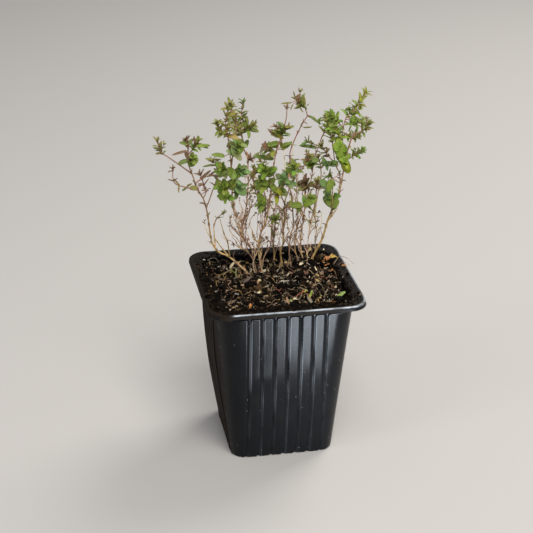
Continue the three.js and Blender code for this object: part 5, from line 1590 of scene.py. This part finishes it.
def nodeSkins(at, ahead, leafy, rng):
    # what grows on each side of a stem's node: nothing, a dead stub, a shrivelled leaf or, where the
    # stem is leafy, a bud's single leaf
    skins = []
    out = outward(ahead, rng.uniform(0, 2 * np.pi), 0.1)
    for hand in (1, -1):
        kind = rng.random()
        way = unit(ahead * rng.uniform(0.5, 1.3) + out * hand)
        blade = None
        if kind < 0.45:
            s = np.linspace(0, 1, 5)[:, None]
            stub = at + s * rng.uniform(1.0, 3.2) * way + s ** 2 * ahead
            skins.append(tube(stub, np.linspace(0.3, 0.14, 5), 5, barks["brown"] * rng.uniform(0.4, 1)))
        elif kind < 0.62:
            upper = squareTo(way, ahead + rng.normal(0, 0.3, 3))
            tone = greens["dead"] * rng.uniform(0.6, 1.3)
            blade = rng.uniform(2, 4), rng.uniform(0.7, 1.3), rng.uniform(0.8, 2.0), 0.9
        elif kind < 0.95 and leafy:
            upper = squareTo(way, ahead + np.array([0, -0.2, 0.8]))
            tone = greens[["green", "olive", "brown", "dark"][rng.integers(4)]]
            size = rng.uniform(2.5, 5)
            blade = size, size * 0.4, rng.uniform(0.3, 1.2), 0.35
        if blade:
            skins.append(leafBlades(at[None], way[None], upper[None], *blade, tone[None], look=1))
    return skins


def stemSkins(name, stem, rng):
    # the tapered stem, which wavers a little and is thicker and darker at its nodes, with all that it
    # carries; a stem that starts at the soil goes on down into it
    route = [list(p) for p in stem["route"]]
    rooted = route[0][2] <= soil["level"]
    if rooted:
        x, y = (float(v) for v in route[0][:2])
        route[0][2] = soilBase(x, y) + 1
        route.insert(0, [x, y, soil["level"] - 6])
    path = smoothRoute(route, 9 * len(route))
    run = lengthAlong(path)
    t = run / run[-1]
    nodes = np.arange(growth["nodeGap"], run[-1] - 3, growth["nodeGap"])
    nodes = nodes + rng.uniform(-2, 2, len(nodes))
    near = np.exp(-((run[:, None] - nodes[None]) / growth["nodeLength"]) ** 2).sum(1)
    wobble = 0.3 * softNoise(path, 9, 60)[:, None] * rowsOf([[1, 0.6, 0]])
    path = path + wobble * smoothStep(0, 0.15, t)[:, None] * smoothStep(1, 0.85, t)[:, None]
    colours = rowsOf([barks[b] for b in stem["bark"]])
    tint = readAt(colours, np.linspace(0, 1, len(colours)), t)
    tint = tint * (1 - growth["nodeDark"] * np.clip(near, 0, 1))[:, None]
    girth = growth["girth"] * mix(0.85 * stem["foot"] ** 1.3, stem["tip"], t)
    skins = [tube(path, girth * (1 + growth["nodeSwell"] * near), 8, tint)]
    skins += wispSkins(path, t, stem.get("wisps", 0), rng)
    skins += singleSkins(name, path, rng)
    if rooted:
        skins += flareSkins(route[1], colours[0], rng)
    skins += [twigSkins(twig, colours[1], rng) for twig in stem.get("twigs", [])]
    for place in nodes:
        at = readAt(path, run, place)
        if at[2] < soil["level"] + 4:
            continue
        ahead = unit(readAt(path, run, min(place + 1, run[-1])) - at)
        leafy = t[np.argmin(np.abs(run - place))] > growth["budsFrom"]
        skins += nodeSkins(at, ahead, leafy, rng)
    return skins


def buildPlant(rng):
    looks = [finishes["wood"], finishes["leaf"]]
    for name, stem in stems.items():
        skins = stemSkins(name, stem, rng)
        for shoot in sideShoots.get(name, []):
            skins += shootSkins(shoot, rng)
        makePiece("plant_" + name, skins, looks, [name])
    print("stems grown")
    for name, shoot in shoots.items():
        skins = shootSkins(shoot, rng, leafyUntil.get(name, growth["leafyTo"]))
        skins += singleSkins(name, smoothRoute(shoot[0], 20), rng)
        makePiece("plant_" + name, skins, looks, [name])
    print("shoots grown")


buildPlant(np.random.default_rng(23))


# Floor, light and camera

view = {"azimuth": -10.98, "elevation": 24.49, "roll": 0.4, "distance": 876,
        "target": (-0.76, 22.13, 97.38), "lens": 100.43}
stage = {"floorReach": 6.0, "floorColour": (0.50, 0.475, 0.45, 1), "worldColour": (0.78, 0.82, 0.88, 1),
         "worldStrength": 0.35}
lamps = {
    "window": {"azimuth": 128, "elevation": 46, "distance": 1500, "size": 700, "watts": 13,
               "colour": (1.0, 0.97, 0.92), "aim": (0, 0, 80)},
    "sky": {"azimuth": 6, "elevation": 58, "distance": 1500, "size": 800, "watts": 19,
            "colour": (1.0, 0.98, 0.95), "aim": (0, 0, 80)},
    "left": {"azimuth": -66, "elevation": 30, "distance": 1400, "size": 400, "watts": 3.2,
             "colour": (0.92, 0.96, 1.0), "aim": (0, 0, 80)},
    "wallCard": {"azimuth": 10, "elevation": -33, "distance": 110, "size": 62, "watts": 0.225,
                 "colour": (0.80, 0.89, 0.99), "aim": (27, -40, 92)},
    "lipCard": {"azimuth": 12, "elevation": -22, "distance": 110, "size": 44, "watts": 0.045,
                "colour": (0.81, 0.90, 0.99), "aim": (14, -45, 99)},
}


def direction(azimuth, elevation):
    # azimuth 0 stands in front of the pot, on the side of -Y, and grows to the right
    a, e = np.radians([azimuth, elevation])
    return np.array([np.sin(a) * np.cos(e), -np.cos(a) * np.cos(e), np.sin(e)])


def placed(kind, name, azimuth, elevation, distance, target, roll=0.0):
    # a lamp or the camera, out from the target and looking back at it
    holder = bpy.data.objects.new(name, kind)
    bpy.context.scene.collection.objects.link(holder)
    back = direction(azimuth, elevation)
    right = unit(np.cross([0, 0, 1], back))
    above = np.cross(back, right)
    r = np.radians(roll)
    right, above = np.cos(r) * right + np.sin(r) * above, np.cos(r) * above - np.sin(r) * right
    spot = (np.array(target) + back * distance) * mm
    rows = np.column_stack([right, above, back, spot])
    holder.matrix_world = Matrix([*rows.tolist(), [0, 0, 0, 1]])
    return holder


def buildFloor():
    # one wide pale square, in metres
    r = stage["floorReach"]
    floor = bpy.data.meshes.new("floor")
    floor.from_pydata([(-r, -r, 0), (r, -r, 0), (r, r, 0), (-r, r, 0)], [], [(0, 1, 2, 3)])
    plane = bpy.data.objects.new("floor", floor)
    bpy.context.scene.collection.objects.link(plane)
    floor.materials.append(Finish("floor_pale").surface(Base_Color=stage["floorColour"], Roughness=0.75))


def buildLamps():
    # square soft lamps; a card is a reflector close in front of the wall, for the pot alone
    for name, lamp in lamps.items():
        light = bpy.data.lights.new(name, "AREA")
        light.shape, light.size, light.energy = "SQUARE", lamp["size"] * mm, lamp["watts"]
        light.color = lamp["colour"]
        holder = placed(light, name, lamp["azimuth"], lamp["elevation"], lamp["distance"], lamp["aim"])
        holder.visible_camera = False
        if name.endswith("Card"):
            lit = bpy.data.collections.new(name + "_lights")
            lit.objects.link(bpy.data.objects["nursery_pot"])
            holder.light_linking.receiver_collection = lit
    world = bpy.data.worlds.new("studio")
    bpy.context.scene.world = world
    world.use_nodes = True
    background = world.node_tree.nodes["Background"].inputs
    background["Color"].default_value = stage["worldColour"]
    background["Strength"].default_value = stage["worldStrength"]


def buildCamera():
    camera = bpy.data.cameras.new("camera")
    camera.lens, camera.sensor_width, camera.clip_start = view["lens"], 36, 0.01
    bpy.context.scene.camera = placed(camera, "camera", view["azimuth"], view["elevation"],
                                      view["distance"], view["target"], view["roll"])
    bpy.context.scene.view_settings.view_transform = "Standard"


buildFloor()
buildLamps()
buildCamera()
print("stage set")

bpy.context.view_layer.update()
